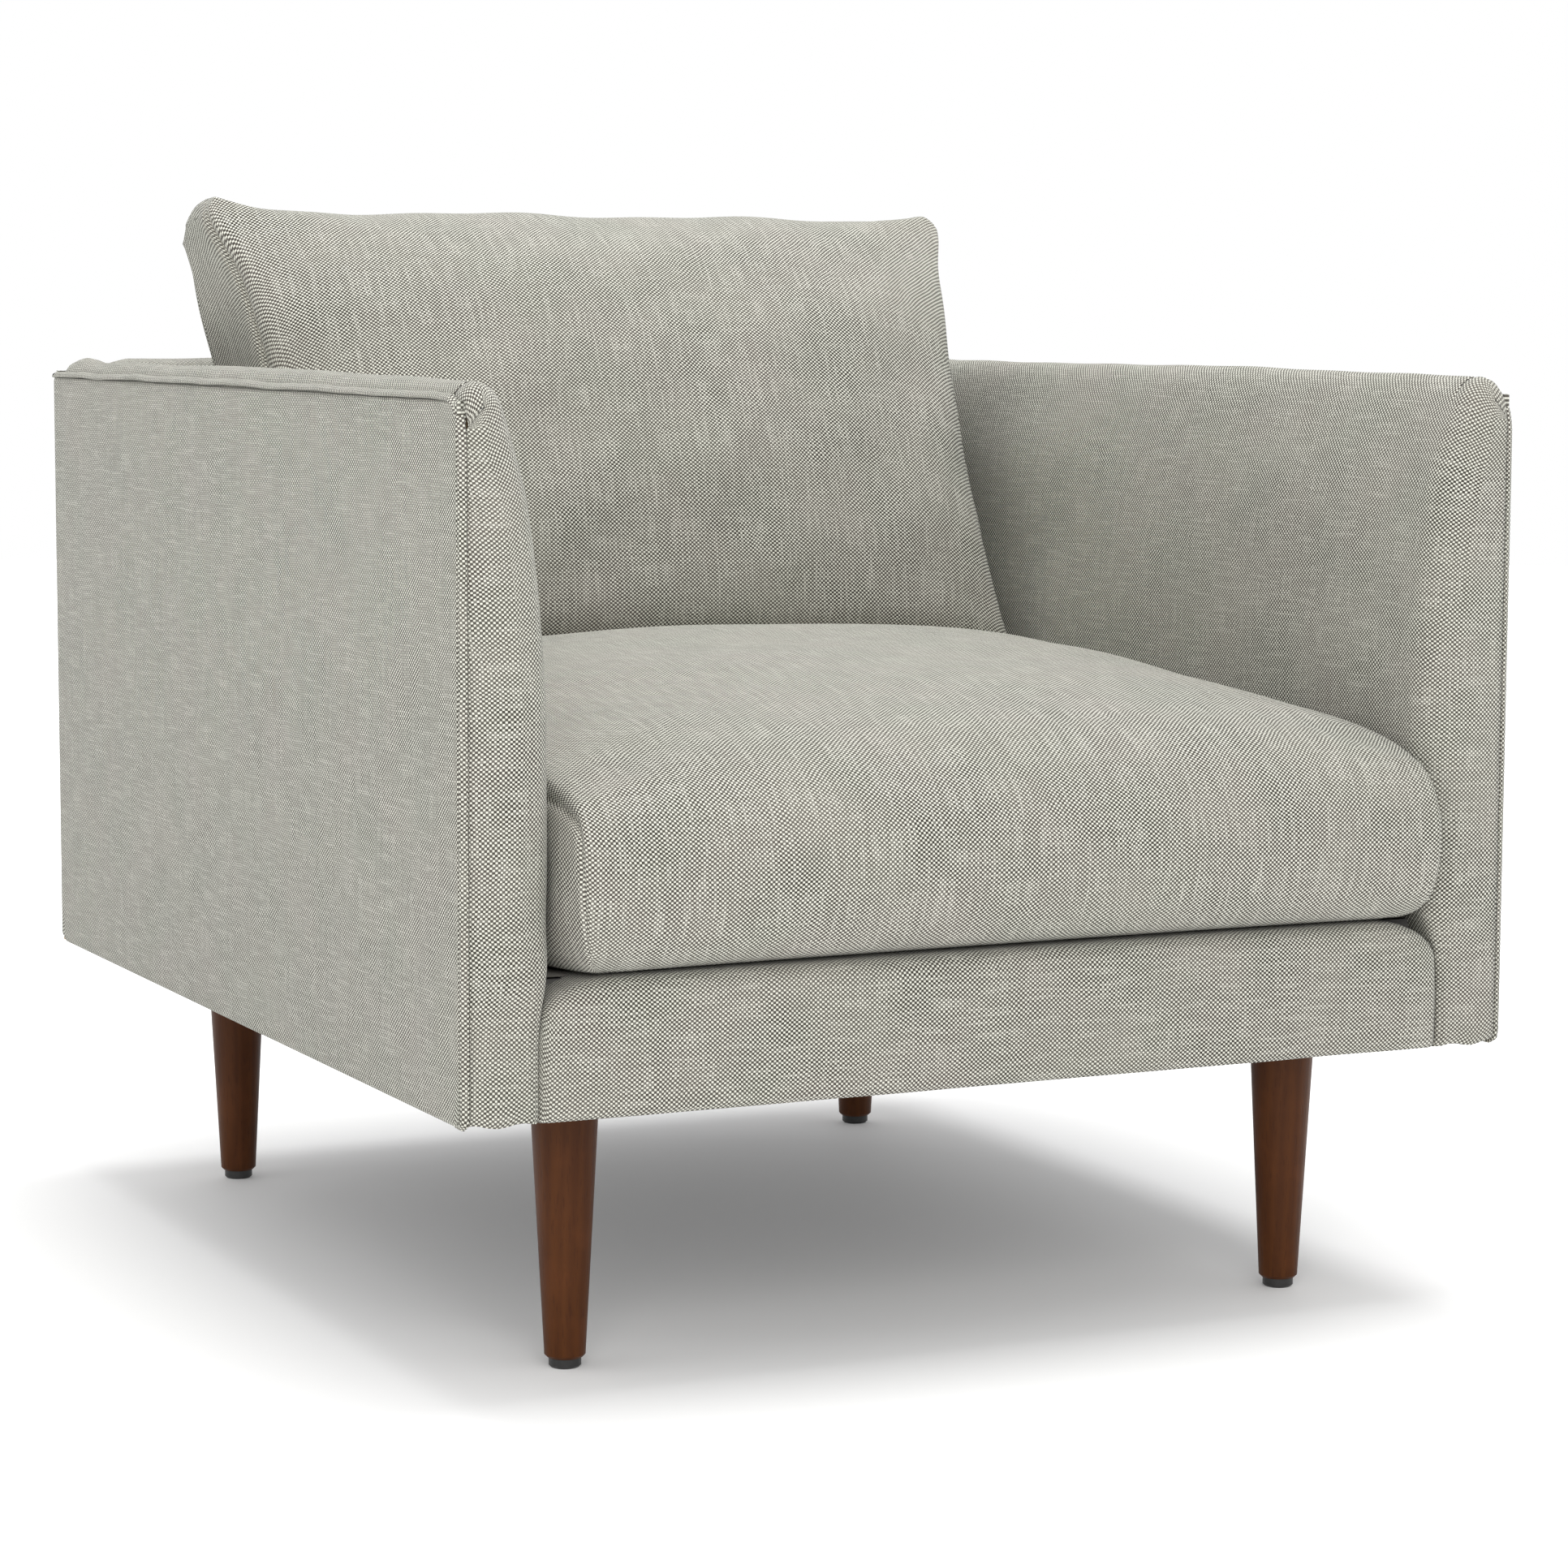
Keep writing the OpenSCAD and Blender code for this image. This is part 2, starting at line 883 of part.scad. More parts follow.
seat_springs();
spring_clips();
spring_insulator();
deck_pad();
deck_cloth();
back_webbing();
arm_foam(-1);  // arm_foam_left
arm_foam(1);  // arm_foam_right
back_foam();
rail_foam();
arm_cover(-1);  // arm_cover_left
arm_cover(1);  // arm_cover_right
arm_side_panel(-1);  // arm_side_panel_left
arm_side_panel(1);  // arm_side_panel_right
inside_back_cover();
outside_back_panel();
front_rail_cover();
dust_cover();
leg(-1, -1);  // leg_front_left
leg(1, -1);  // leg_front_right
leg(-1, 1);  // leg_rear_left
leg(1, 1);  // leg_rear_right
hanger_bolts();
insert_nuts();
glides();
glide_nails();
seat_cushion_cover();
seat_cushion_core();
seat_zip();
seat_zip_slider();
back_cushion_cover();
back_cushion_core();
back_zip();
back_zip_slider();
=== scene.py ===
"""Dresses an upholstered lounge chair: its stretched covers, loose cushions, seams, zips and finishes."""

import json
import math

import bpy
import numpy as np
from mathutils import Matrix, Vector
from mathutils.bvhtree import BVHTree

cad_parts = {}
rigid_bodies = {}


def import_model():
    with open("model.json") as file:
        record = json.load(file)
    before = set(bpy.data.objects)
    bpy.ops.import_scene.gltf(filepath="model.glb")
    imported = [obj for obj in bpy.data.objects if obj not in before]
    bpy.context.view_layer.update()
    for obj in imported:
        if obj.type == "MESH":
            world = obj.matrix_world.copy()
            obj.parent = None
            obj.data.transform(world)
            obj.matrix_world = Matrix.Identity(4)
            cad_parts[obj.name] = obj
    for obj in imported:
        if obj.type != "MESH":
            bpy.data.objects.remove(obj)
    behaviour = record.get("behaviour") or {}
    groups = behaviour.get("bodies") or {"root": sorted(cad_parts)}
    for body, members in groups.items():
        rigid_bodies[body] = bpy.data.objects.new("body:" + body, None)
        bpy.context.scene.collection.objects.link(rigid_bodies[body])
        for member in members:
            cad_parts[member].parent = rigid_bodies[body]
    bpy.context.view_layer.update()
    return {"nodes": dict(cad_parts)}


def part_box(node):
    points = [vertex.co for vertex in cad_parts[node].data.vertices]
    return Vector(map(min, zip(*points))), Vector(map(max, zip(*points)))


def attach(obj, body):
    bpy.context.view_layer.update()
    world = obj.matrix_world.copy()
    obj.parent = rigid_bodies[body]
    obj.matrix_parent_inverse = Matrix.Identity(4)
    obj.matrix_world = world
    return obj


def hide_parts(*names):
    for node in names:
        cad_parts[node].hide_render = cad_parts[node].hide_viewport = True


bl_info = {
    "name": "Lounge Chair Upholstery",
    "version": (1, 0, 0),
    "blender": (4, 5, 0),
    "location": "3D View > Sidebar > Chair",
    "description": "Covers, cushions, seams and finishes of an upholstered lounge chair",
    "category": "Object",
}

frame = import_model()

# ---- places that come from the frame, in metres ----

SIDE_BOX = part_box("arm_side_panel_right")
HALF_W = SIDE_BOX[1].x
FRONT_Y = SIDE_BOX[0].y
BASE_Z = SIDE_BOX[0].z
REAR_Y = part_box("outside_back_panel")[1].y
DECK_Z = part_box("deck_cloth")[1].z
INSIDE_BACK_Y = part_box("inside_back_cover")[0].y
RAIL_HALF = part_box("front_rail_cover")[1].x
SEAT_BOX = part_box("seat_cushion_cover")

CLOTH_MAP = "Cloth"
WELD = 2e-5  # points closer than this are joined
WAVES = 7  # how many waves make up the unevenness of a surface
# how far each padding lies under its cover
THIN_PADDING, ARM_PADDING, CUSHION_FILLING = 0.0016, 0.0024, 0.0034
SPREAD = 3  # how often the outward directions are evened out


class ChairSizes(bpy.types.PropertyGroup):
    """Sizes of the soft work"""

    grid: bpy.props.FloatProperty(
        name="Grid", description="Spacing of the points on a cover", default=0.008, unit="LENGTH"
    )
    welt_w: bpy.props.FloatProperty(
        name="Welt Width", description="Width of the folded welts", default=0.0062, unit="LENGTH"
    )
    welt_t: bpy.props.FloatProperty(
        name="Welt Thickness", description="Thickness of the folded welts", default=0.0030, unit="LENGTH"
    )
    seam_depth: bpy.props.FloatProperty(
        name="Seam Depth", description="Depth of a sewn seam's valley", default=0.0030, unit="LENGTH"
    )
    stitch_l: bpy.props.FloatProperty(
        name="Stitch Length", description="Length of one stitch", default=0.0036, unit="LENGTH"
    )
    thread_d: bpy.props.FloatProperty(
        name="Thread", description="Diameter of the sewing thread", default=0.0007, unit="LENGTH"
    )
    pressure: bpy.props.FloatProperty(
        name="Filling Pressure", description="Pressure that swells the cushions", default=4.0
    )
    swell: bpy.props.FloatProperty(
        name="Most Swelling", description="How far a cushion's cloth may move", default=0.012, unit="LENGTH"
    )
    warp_pitch: bpy.props.FloatProperty(
        name="Warp Pitch", description="Width of one warp yarn", default=0.00182, unit="LENGTH"
    )
    weft_pitch: bpy.props.FloatProperty(
        name="Weft Pitch", description="Width of one weft yarn", default=0.00157, unit="LENGTH"
    )


class ChairColours(bpy.types.PropertyGroup):
    """Colours of the finishes"""

    light_yarn: bpy.props.FloatVectorProperty(
        name="Light Yarn", description="The cream grey yarn", subtype="COLOR", default=(0.72, 0.722, 0.635)
    )
    dark_yarn: bpy.props.FloatVectorProperty(
        name="Dark Yarn",
        description="The charcoal brown yarn",
        subtype="COLOR",
        default=(0.032, 0.027, 0.021),
    )
    wood_light: bpy.props.FloatVectorProperty(
        name="Light Grain",
        description="The walnut's light grain",
        subtype="COLOR",
        default=(0.092, 0.0285, 0.0048),
    )
    wood_dark: bpy.props.FloatVectorProperty(
        name="Dark Grain",
        description="The walnut's dark grain",
        subtype="COLOR",
        default=(0.040, 0.0105, 0.0024),
    )
    floor: bpy.props.FloatVectorProperty(
        name="Floor", description="The pale studio floor", subtype="COLOR", default=(0.86, 0.86, 0.86)
    )


# ---- shader building ----


def add(tree, kind, inputs=None, **settings):
    """A new node with its settings, its values and its links."""
    made = tree.nodes.new(kind)
    for name, value in settings.items():
        setattr(made, name, value)
    for name, value in (inputs or {}).items():
        if isinstance(value, bpy.types.NodeSocket):
            tree.links.new(value, made.inputs[name])
        else:
            made.inputs[name].default_value = value
    return made


def maths(tree, operation, a, b=0.0, clamp=False):
    """The result of one Math node."""
    return add(tree, "ShaderNodeMath", {0: a, 1: b}, operation=operation, use_clamp=clamp).outputs[0]


def blend_colour(tree, share, a, b, mode="MIX"):
    """Colour a turned into colour b by share."""
    made = add(tree, "ShaderNodeMix", {"Factor": share}, data_type="RGBA", blend_type=mode)
    for name, value in (("A", a), ("B", b)):
        socket = [s for s in made.inputs if s.name == name and s.type == "RGBA"][0]
        if isinstance(value, bpy.types.NodeSocket):
            tree.links.new(value, socket)
        else:
            socket.default_value = (*value[:3], 1.0)
    return [s for s in made.outputs if s.type == "RGBA"][0]


def new_group(name, inputs, outputs):
    """An empty shader node group with its sockets, and its input and output nodes."""
    group = bpy.data.node_groups.new(name, "ShaderNodeTree")
    kinds = {"V": "NodeSocketVector", "F": "NodeSocketFloat", "C": "NodeSocketColor"}
    for label, kind, default in inputs:
        socket = group.interface.new_socket(label, in_out="INPUT", socket_type=kinds[kind])
        if default is not None:
            socket.default_value = default
    for label, kind in outputs:
        group.interface.new_socket(label, in_out="OUTPUT", socket_type=kinds[kind])
    return group, group.nodes.new("NodeGroupInput").outputs, group.nodes.new("NodeGroupOutput").inputs


def weave_group():
    """Plain weave of two yarns: which yarn is on top, how high it stands, and its slubs."""
    group, given, out = new_group(
        "Plain Weave",
        [("Vector", "V", None), ("Warp Pitch", "F", 0.0018), ("Weft Pitch", "F", 0.0016)],
        [("Yarn", "F"), ("Height", "F"), ("Warp Slub", "F"), ("Weft Slub", "F")],
    )
    wander = add(group, "ShaderNodeTexNoise", {"Vector": given["Vector"], "Scale": 42.0, "Detail": 1.0})
    about_half = {0: wander.outputs["Color"], 1: (0.5, 0.5, 0.5)}
    centred = add(group, "ShaderNodeVectorMath", about_half, operation="SUBTRACT")
    small = add(group, "ShaderNodeVectorMath", {0: centred.outputs[0], "Scale": 0.003}, operation="SCALE")
    place = add(group, "ShaderNodeVectorMath", {0: given["Vector"], 1: small.outputs[0]}, operation="ADD")
    axes = add(group, "ShaderNodeSeparateXYZ", {0: place.outputs[0]})
    u = maths(group, "DIVIDE", axes.outputs["X"], given["Warp Pitch"])
    v = maths(group, "DIVIDE", axes.outputs["Y"], given["Weft Pitch"])
    cell_u, cell_v = maths(group, "FLOOR", u), maths(group, "FLOOR", v)
    both = maths(group, "MULTIPLY", maths(group, "ADD", cell_u, cell_v), 0.5)
    over = maths(group, "MULTIPLY", maths(group, "FRACT", both), 2.0)
    domes = []
    for along in (u, v):
        off = maths(group, "SUBTRACT", maths(group, "FRACT", along), 0.5)
        square = maths(group, "MULTIPLY", maths(group, "MULTIPLY", off, off), 4.0)
        domes.append(maths(group, "SUBTRACT", 1.0, square, clamp=True))
    height = maths(group, "POWER", maths(group, "MULTIPLY", domes[0], domes[1]), 0.45)
    slubs = []
    for cell, along, seed in ((cell_u, axes.outputs["Y"], 3.0), (cell_v, axes.outputs["X"], 17.0)):
        run = add(
            group,
            "ShaderNodeCombineXYZ",
            {0: maths(group, "MULTIPLY", cell, 0.71), 1: maths(group, "MULTIPLY", along, 26.0), 2: seed},
        )
        slub = add(group, "ShaderNodeTexNoise", {"Vector": run.outputs[0], "Scale": 1.0, "Detail": 2.0})
        slubs.append(slub.outputs["Fac"])
    group.links.new(over, out["Yarn"])
    group.links.new(height, out["Height"])
    group.links.new(slubs[0], out["Warp Slub"])
    group.links.new(slubs[1], out["Weft Slub"])
    return group


def blotch_group():
    """Broad, soft colour variation."""
    group, given, out = new_group(
        "Soft Blotches", [("Vector", "V", None), ("Scale", "F", 12.0)], [("Mask", "F"), ("Second Mask", "F")]
    )
    first = add(
        group, "ShaderNodeTexNoise", {"Vector": given["Vector"], "Scale": given["Scale"], "Detail": 3.0}
    )
    moved = add(group, "ShaderNodeVectorMath", {0: given["Vector"], 1: (5.2, 1.7, 3.1)}, operation="ADD")
    second = add(
        group, "ShaderNodeTexNoise", {"Vector": moved.outputs[0], "Scale": given["Scale"], "Detail": 2.0}
    )
    for noise, name in ((first, "Mask"), (second, "Second Mask")):
        wide = add(
            group,
            "ShaderNodeMapRange",
            {"Value": noise.outputs["Fac"], "From Min": 0.36, "From Max": 0.64},
        )
        group.links.new(wide.outputs["Result"], out[name])
    return group


def grain_group():
    """Wood grain that runs along Z: a colour mask, fine pores and a height."""
    group, given, out = new_group(
        "Wood Grain",
        [("Vector", "V", None), ("Ring Scale", "F", 38.0), ("Stretch", "F", 0.07)],
        [("Mask", "F"), ("Pores", "F"), ("Height", "F")],
    )
    axes = add(group, "ShaderNodeSeparateXYZ", {0: given["Vector"]})
    long = maths(group, "MULTIPLY", axes.outputs["Z"], given["Stretch"])
    flat = add(group, "ShaderNodeCombineXYZ", {0: axes.outputs["X"], 1: axes.outputs["Y"], 2: long})
    wave = add(
        group,
        "ShaderNodeTexWave",
        {
            "Vector": flat.outputs[0],
            "Scale": given["Ring Scale"],
            "Distortion": 7.0,
            "Detail": 3.0,
            "Detail Scale": 1.2,
        },
        wave_type="BANDS",
        bands_direction="X",
    )
    cloud = add(group, "ShaderNodeTexNoise", {"Vector": flat.outputs[0], "Scale": 55.0, "Detail": 5.0})
    fine = add(group, "ShaderNodeTexNoise", {"Vector": flat.outputs[0], "Scale": 900.0, "Detail": 2.0})
    pores = add(
        group,
        "ShaderNodeMapRange",
        {"Value": fine.outputs["Fac"], "From Min": 0.56, "From Max": 0.70},
    ).outputs["Result"]
    mask = maths(
        group,
        "ADD",
        maths(group, "MULTIPLY", wave.outputs["Fac"], 0.22),
        maths(group, "MULTIPLY", cloud.outputs["Fac"], 0.78),
        clamp=True,
    )
    group.links.new(mask, out["Mask"])
    group.links.new(pores, out["Pores"])
    group.links.new(maths(group, "SUBTRACT", mask, pores), out["Height"])
    return group


def wear_group():
    """Fine scuffs and dust for hard parts: a mask and a height."""
    group, given, out = new_group(
        "Scuffs", [("Vector", "V", None), ("Scale", "F", 160.0)], [("Mask", "F"), ("Height", "F")]
    )
    broad = add(
        group, "ShaderNodeTexNoise", {"Vector": given["Vector"], "Scale": given["Scale"], "Detail": 5.0}
    )
    sharp = add(
        group,
        "ShaderNodeMapRange",
        {"Value": broad.outputs["Fac"], "From Min": 0.52, "From Max": 0.68},
    )
    group.links.new(sharp.outputs["Result"], out["Mask"])
    group.links.new(broad.outputs["Fac"], out["Height"])
    return group


GROUPS = {
    "weave": weave_group,
    "blotch": blotch_group,
    "grain": grain_group,
    "wear": wear_group,
}
made_groups = {}


def use_group(tree, name, inputs):
    """One of the shared effects, placed in a material."""
    if name not in made_groups:
        made_groups[name] = GROUPS[name]()
    made = tree.nodes.new("ShaderNodeGroup")
    made.node_tree = made_groups[name]
    for label, value in inputs.items():
        if isinstance(value, bpy.types.NodeSocket):
            tree.links.new(value, made.inputs[label])
        else:
            made.inputs[label].default_value = value
    return made.outputs


def new_material(name, **constants):
    """A material with one Principled shader, and its constant values."""
    found = bpy.data.materials.get(name)
    if found:
        return found, None, None
    material = bpy.data.materials.new(name)
    material.use_nodes = True
    tree = material.node_tree
    shader = tree.nodes["Principled BSDF"]
    for label, value in constants.items():
        shader.inputs[label.replace("_", " ")].default_value = value
    return material, tree, shader


def feed(tree, shader, colour=None, roughness=None, height=None, strength=0.5, distance=0.001):
    """Links what varies over the surface to the shader."""
    if colour is not None:
        tree.links.new(colour, shader.inputs["Base Color"])
    if roughness is not None:
        tree.links.new(roughness, shader.inputs["Roughness"])
    if height is not None:
        bump = add(tree, "ShaderNodeBump", {"Height": height, "Strength": strength, "Distance": distance})
        tree.links.new(bump.outputs["Normal"], shader.inputs["Normal"])


def spread_value(tree, value, low, high):
    """A 0 to 1 value, spread between low and high."""
    return add(tree, "ShaderNodeMapRange", {"Value": value, "To Min": low, "To Max": high}).outputs["Result"]


def upholstery(warp_slub=0.5, weft_slub=0.35):
    """The two-yarn cloth, with painted shade between its yarns. Its slubs run mostly along the warp or along
    the weft.
    """
    name = f"Upholstery Cloth {round(100 * warp_slub)}-{round(100 * weft_slub)}"
    material, tree, shader = new_material(name, Roughness=0.92, Sheen_Weight=0.10, Sheen_Roughness=0.45)
    if tree is None:
        return material
    shader.inputs["Specular IOR Level"].default_value = 0.25
    shader.inputs["Sheen Tint"].default_value = (0.93, 0.97, 1.0, 1.0)
    sizes, colours = bpy.context.scene.chair_sizes, bpy.context.scene.chair_colours
    place = add(tree, "ShaderNodeUVMap", uv_map=CLOTH_MAP).outputs["UV"]
    weave = use_group(
        tree, "weave", {"Vector": place, "Warp Pitch": sizes.warp_pitch, "Weft Pitch": sizes.weft_pitch}
    )
    blotch = use_group(tree, "blotch", {"Vector": place, "Scale": 14.0})
    yarns = blend_colour(tree, weave["Yarn"], colours.dark_yarn, colours.light_yarn)
    shade = maths(
        tree,
        "ADD",
        maths(tree, "MULTIPLY", maths(tree, "SUBTRACT", weave["Warp Slub"], 0.5), 1.9 * warp_slub),
        maths(tree, "MULTIPLY", maths(tree, "SUBTRACT", weave["Weft Slub"], 0.5), 1.9 * weft_slub),
    )
    paler = maths(tree, "MAXIMUM", shade, 0.0)
    deeper = maths(tree, "MAXIMUM", maths(tree, "MULTIPLY", shade, -1.0), 0.0)
    yarns = blend_colour(tree, paler, yarns, (0.86, 0.845, 0.76))
    yarns = blend_colour(tree, deeper, yarns, (0.16, 0.145, 0.12))
    yarns = blend_colour(
        tree, maths(tree, "MULTIPLY", blotch["Mask"], 0.13), yarns, (0.53, 0.445, 0.42)
    )
    yarns = blend_colour(
        tree, maths(tree, "MULTIPLY", blotch["Second Mask"], 0.10), yarns, (0.44, 0.46, 0.37)
    )
    # Painted shade: by the weave's height, each yarn is darkened towards its edges and in the gaps between
    # the yarns.
    yarn_shade = spread_value(tree, weave["Height"], 0.28, 1.0)
    grey = add(tree, "ShaderNodeCombineColor", {0: yarn_shade, 1: yarn_shade, 2: yarn_shade}).outputs[0]
    yarns = blend_colour(tree, 1.0, yarns, grey, "MULTIPLY")
    feed(
        tree,
        shader,
        yarns,
        spread_value(tree, weave["Yarn"], 0.96, 0.84),
        maths(tree, "ADD", weave["Height"], maths(tree, "MULTIPLY", shade, 0.8)),
        0.55,
        0.0006,
    )
    return material


def object_place(tree):
    """Each point's place in its own object."""
    return add(tree, "ShaderNodeTexCoord").outputs["Object"]


def walnut():
    """Satin walnut stain over a close straight grain."""
    material, tree, shader = new_material("Walnut", Specular_IOR_Level=0.14)
    if tree is None:
        return material
    colours = bpy.context.scene.chair_colours
    place = object_place(tree)
    grain = use_group(tree, "grain", {"Vector": place})
    wear = use_group(tree, "wear", {"Vector": place, "Scale": 40.0})
    colour = blend_colour(tree, grain["Mask"], colours.wood_dark, colours.wood_light)
    colour = blend_colour(tree, maths(tree, "MULTIPLY", grain["Pores"], 0.55), colour, colours.wood_dark)
    colour = blend_colour(tree, maths(tree, "MULTIPLY", wear["Mask"], 0.18), colour, (0.120, 0.036, 0.009))
    feed(tree, shader, colour, spread_value(tree, grain["Mask"], 0.52, 0.42), grain["Height"], 0.25, 0.0004)
    return material


def raw_wood(name, light, dark):
    """Planed, unfinished timber or board."""
    material, tree, shader = new_material(name)
    if tree is None:
        return material
    place = object_place(tree)
    grain = use_group(tree, "grain", {"Vector": place, "Ring Scale": 24.0, "Stretch": 0.12})
    wear = use_group(tree, "wear", {"Vector": place, "Scale": 60.0})
    colour = blend_colour(tree, grain["Mask"], dark, light)
    colour = blend_colour(tree, maths(tree, "MULTIPLY", wear["Mask"], 0.2), colour, dark)
    feed(tree, shader, colour, spread_value(tree, grain["Mask"], 0.82, 0.66), grain["Height"], 0.4, 0.0005)
    return material


def metal(name, tint, rough, scuff):
    """Plated or plain steel with fine scuffs."""
    material, tree, shader = new_material(name, Metallic=1.0)
    if tree is None:
        return material
    wear = use_group(tree, "wear", {"Vector": object_place(tree), "Scale": 220.0})
    dull = [c * 0.62 for c in tint]
    colour = blend_colour(tree, maths(tree, "MULTIPLY", wear["Mask"], scuff), tint, dull)
    dulled = spread_value(tree, wear["Mask"], rough, rough + 0.2)
    feed(tree, shader, colour, dulled, wear["Height"], 0.1, 0.0003)
    return material


def rough_stuff(name, tint, other, scale, strength, rough=0.9):
    """Foam, webbing, board, felt and moulded plastic: a mottled, grained surface."""
    material, tree, shader = new_material(name)
    if tree is None:
        return material
    place = object_place(tree)
    blotch = use_group(tree, "blotch", {"Vector": place, "Scale": 30.0})
    wear = use_group(tree, "wear", {"Vector": place, "Scale": scale})
    colour = blend_colour(tree, maths(tree, "MULTIPLY", blotch["Mask"], 0.5), tint, other)
    colour = blend_colour(tree, maths(tree, "MULTIPLY", wear["Mask"], 0.5), colour, other)
    rubbed = spread_value(tree, wear["Mask"], rough, rough - 0.12)
    feed(tree, shader, colour, rubbed, wear["Height"], strength, 0.0006)
    return material


def foam():
    return rough_stuff("Foam", (0.80, 0.74, 0.52), (0.66, 0.58, 0.38), 700.0, 0.6)


def sewing_thread():
    return rough_stuff("Thread", (0.42, 0.40, 0.34), (0.26, 0.24, 0.20), 900.0, 0.3)


def zinc_steel():
    return metal("Zinc Steel", (0.62, 0.62, 0.60), 0.32, 0.5)


def card():
    return rough_stuff("Card", (0.46, 0.33, 0.20), (0.34, 0.24, 0.14), 240.0, 0.3)


def glide_plastic():
    return rough_stuff("Glide Plastic", (0.012, 0.012, 0.012), (0.03, 0.03, 0.03), 400.0, 0.15, 0.45)


def plain_cloth(name, light, dark, pitch):
    """A one-colour woven cloth or tape, with painted shade in the valleys between its yarns."""
    material, tree, shader = new_material(name, Sheen_Weight=0.1)
    if tree is None:
        return material
    place = add(tree, "ShaderNodeUVMap", uv_map=CLOTH_MAP).outputs["UV"]
    weave = use_group(tree, "weave", {"Vector": place, "Warp Pitch": pitch, "Weft Pitch": pitch})
    blotch = use_group(tree, "blotch", {"Vector": place, "Scale": 18.0})
    # Painted shade: by the weave's height, the colour runs from dark in the valleys between the yarns to
    # light on their tops.
    colour = blend_colour(tree, weave["Height"], dark, light)
    colour = blend_colour(tree, maths(tree, "MULTIPLY", blotch["Mask"], 0.3), colour, dark)
    feed(tree, shader, colour, spread_value(tree, weave["Height"], 0.95, 0.8), weave["Height"], 0.5, 0.0005)
    return material


def studio_floor():
    """The plain pale floor, very lightly mottled, and glowing a little away from the chair."""
    material, tree, shader = new_material("Studio Floor")
    if tree is None:
        return material
    tint = bpy.context.scene.chair_colours.floor
    place = object_place(tree)
    blotch = use_group(tree, "blotch", {"Vector": place, "Scale": 3.0})
    colour = blend_colour(tree, maths(tree, "MULTIPLY", blotch["Mask"], 0.03), tint, (0.80, 0.80, 0.80))
    feed(tree, shader, colour, spread_value(tree, blotch["Mask"], 0.7, 0.75))
    away = add(tree, "ShaderNodeVectorMath", {0: place}, operation="LENGTH").outputs["Value"]
    reach = {"Value": away, "From Min": 0.35, "From Max": 1.9, "To Min": 0.09, "To Max": 1.0}
    glow = add(tree, "ShaderNodeMapRange", reach).outputs["Result"]
    grey = add(tree, "ShaderNodeCombineColor", {0: glow, 1: glow, 2: glow}).outputs[0]
    tree.links.new(grey, shader.inputs["Emission Color"])
    shader.inputs["Emission Strength"].default_value = 0.6
    return material


# ---- mesh building ----


def smooth_line(points, samples):
    """The points of a smooth curve through the given ones, at shares (0 to 1) of its length."""
    p = np.array(points, float)
    first, last = 2 * p[0] - p[1], 2 * p[-1] - p[-2]
    q = np.vstack([first, p, last])
    fine = []
    t = np.linspace(0, 1, 24, endpoint=False)[:, None]
    for k in range(1, len(q) - 2):
        a, b, c, d = q[k - 1], q[k], q[k + 1], q[k + 2]
        fine.append(
            0.5 * (2 * b + (c - a) * t + (2 * a - 5 * b + 4 * c - d) * t**2 + (3 * b - a - 3 * c + d) * t**3)
        )
    fine = np.vstack([*fine, p[-1:]])
    run = np.concatenate([[0], np.cumsum(np.linalg.norm(np.diff(fine, axis=0), axis=1))])
    at = np.asarray(samples) * run[-1]
    return np.stack([np.interp(at, run, fine[:, k]) for k in range(p.shape[1])], axis=-1)


def runs(points):
    """Distance along a line of points."""
    steps = np.linalg.norm(np.diff(points, axis=0), axis=1)
    return np.concatenate([[0], np.cumsum(steps)])


def shares(length, coarse, fine=0.0):
    """Shares from 0 to 1 that step evenly, or more finely towards the sewn ends."""
    if not fine:
        return np.linspace(0, 1, max(2, round(length / coarse) + 1))
    lead = np.array([0, 1, 2, 3.2, 5, 7.5]) * fine
    high = length - lead[::-1]
    n = max(2, round((high[0] - lead[-1]) / coarse) + 1)
    middle = np.linspace(lead[-1], high[0], n)
    return np.concatenate([lead[:-1], middle, high[1:]]) / length


def wave_noise(points, wavelength, seed):
    """A smooth, repeatable noise about 0, one value a point."""
    r = np.random.default_rng(seed)
    total = np.zeros(points.shape[:-1])
    for _ in range(WAVES):
        direction = r.normal(size=points.shape[-1])
        direction *= 2 * math.pi / (wavelength * r.uniform(0.6, 1.6) * np.linalg.norm(direction))
        total += np.sin(points @ direction + r.uniform(0, 2 * math.pi))
    return total / 3.0


def rise(value, start, end):
    """0 before start, 1 after end, and smooth between."""
    t = np.clip((np.asarray(value, float) - start) / (end - start), 0, 1)
    return t * t * (3 - 2 * t)


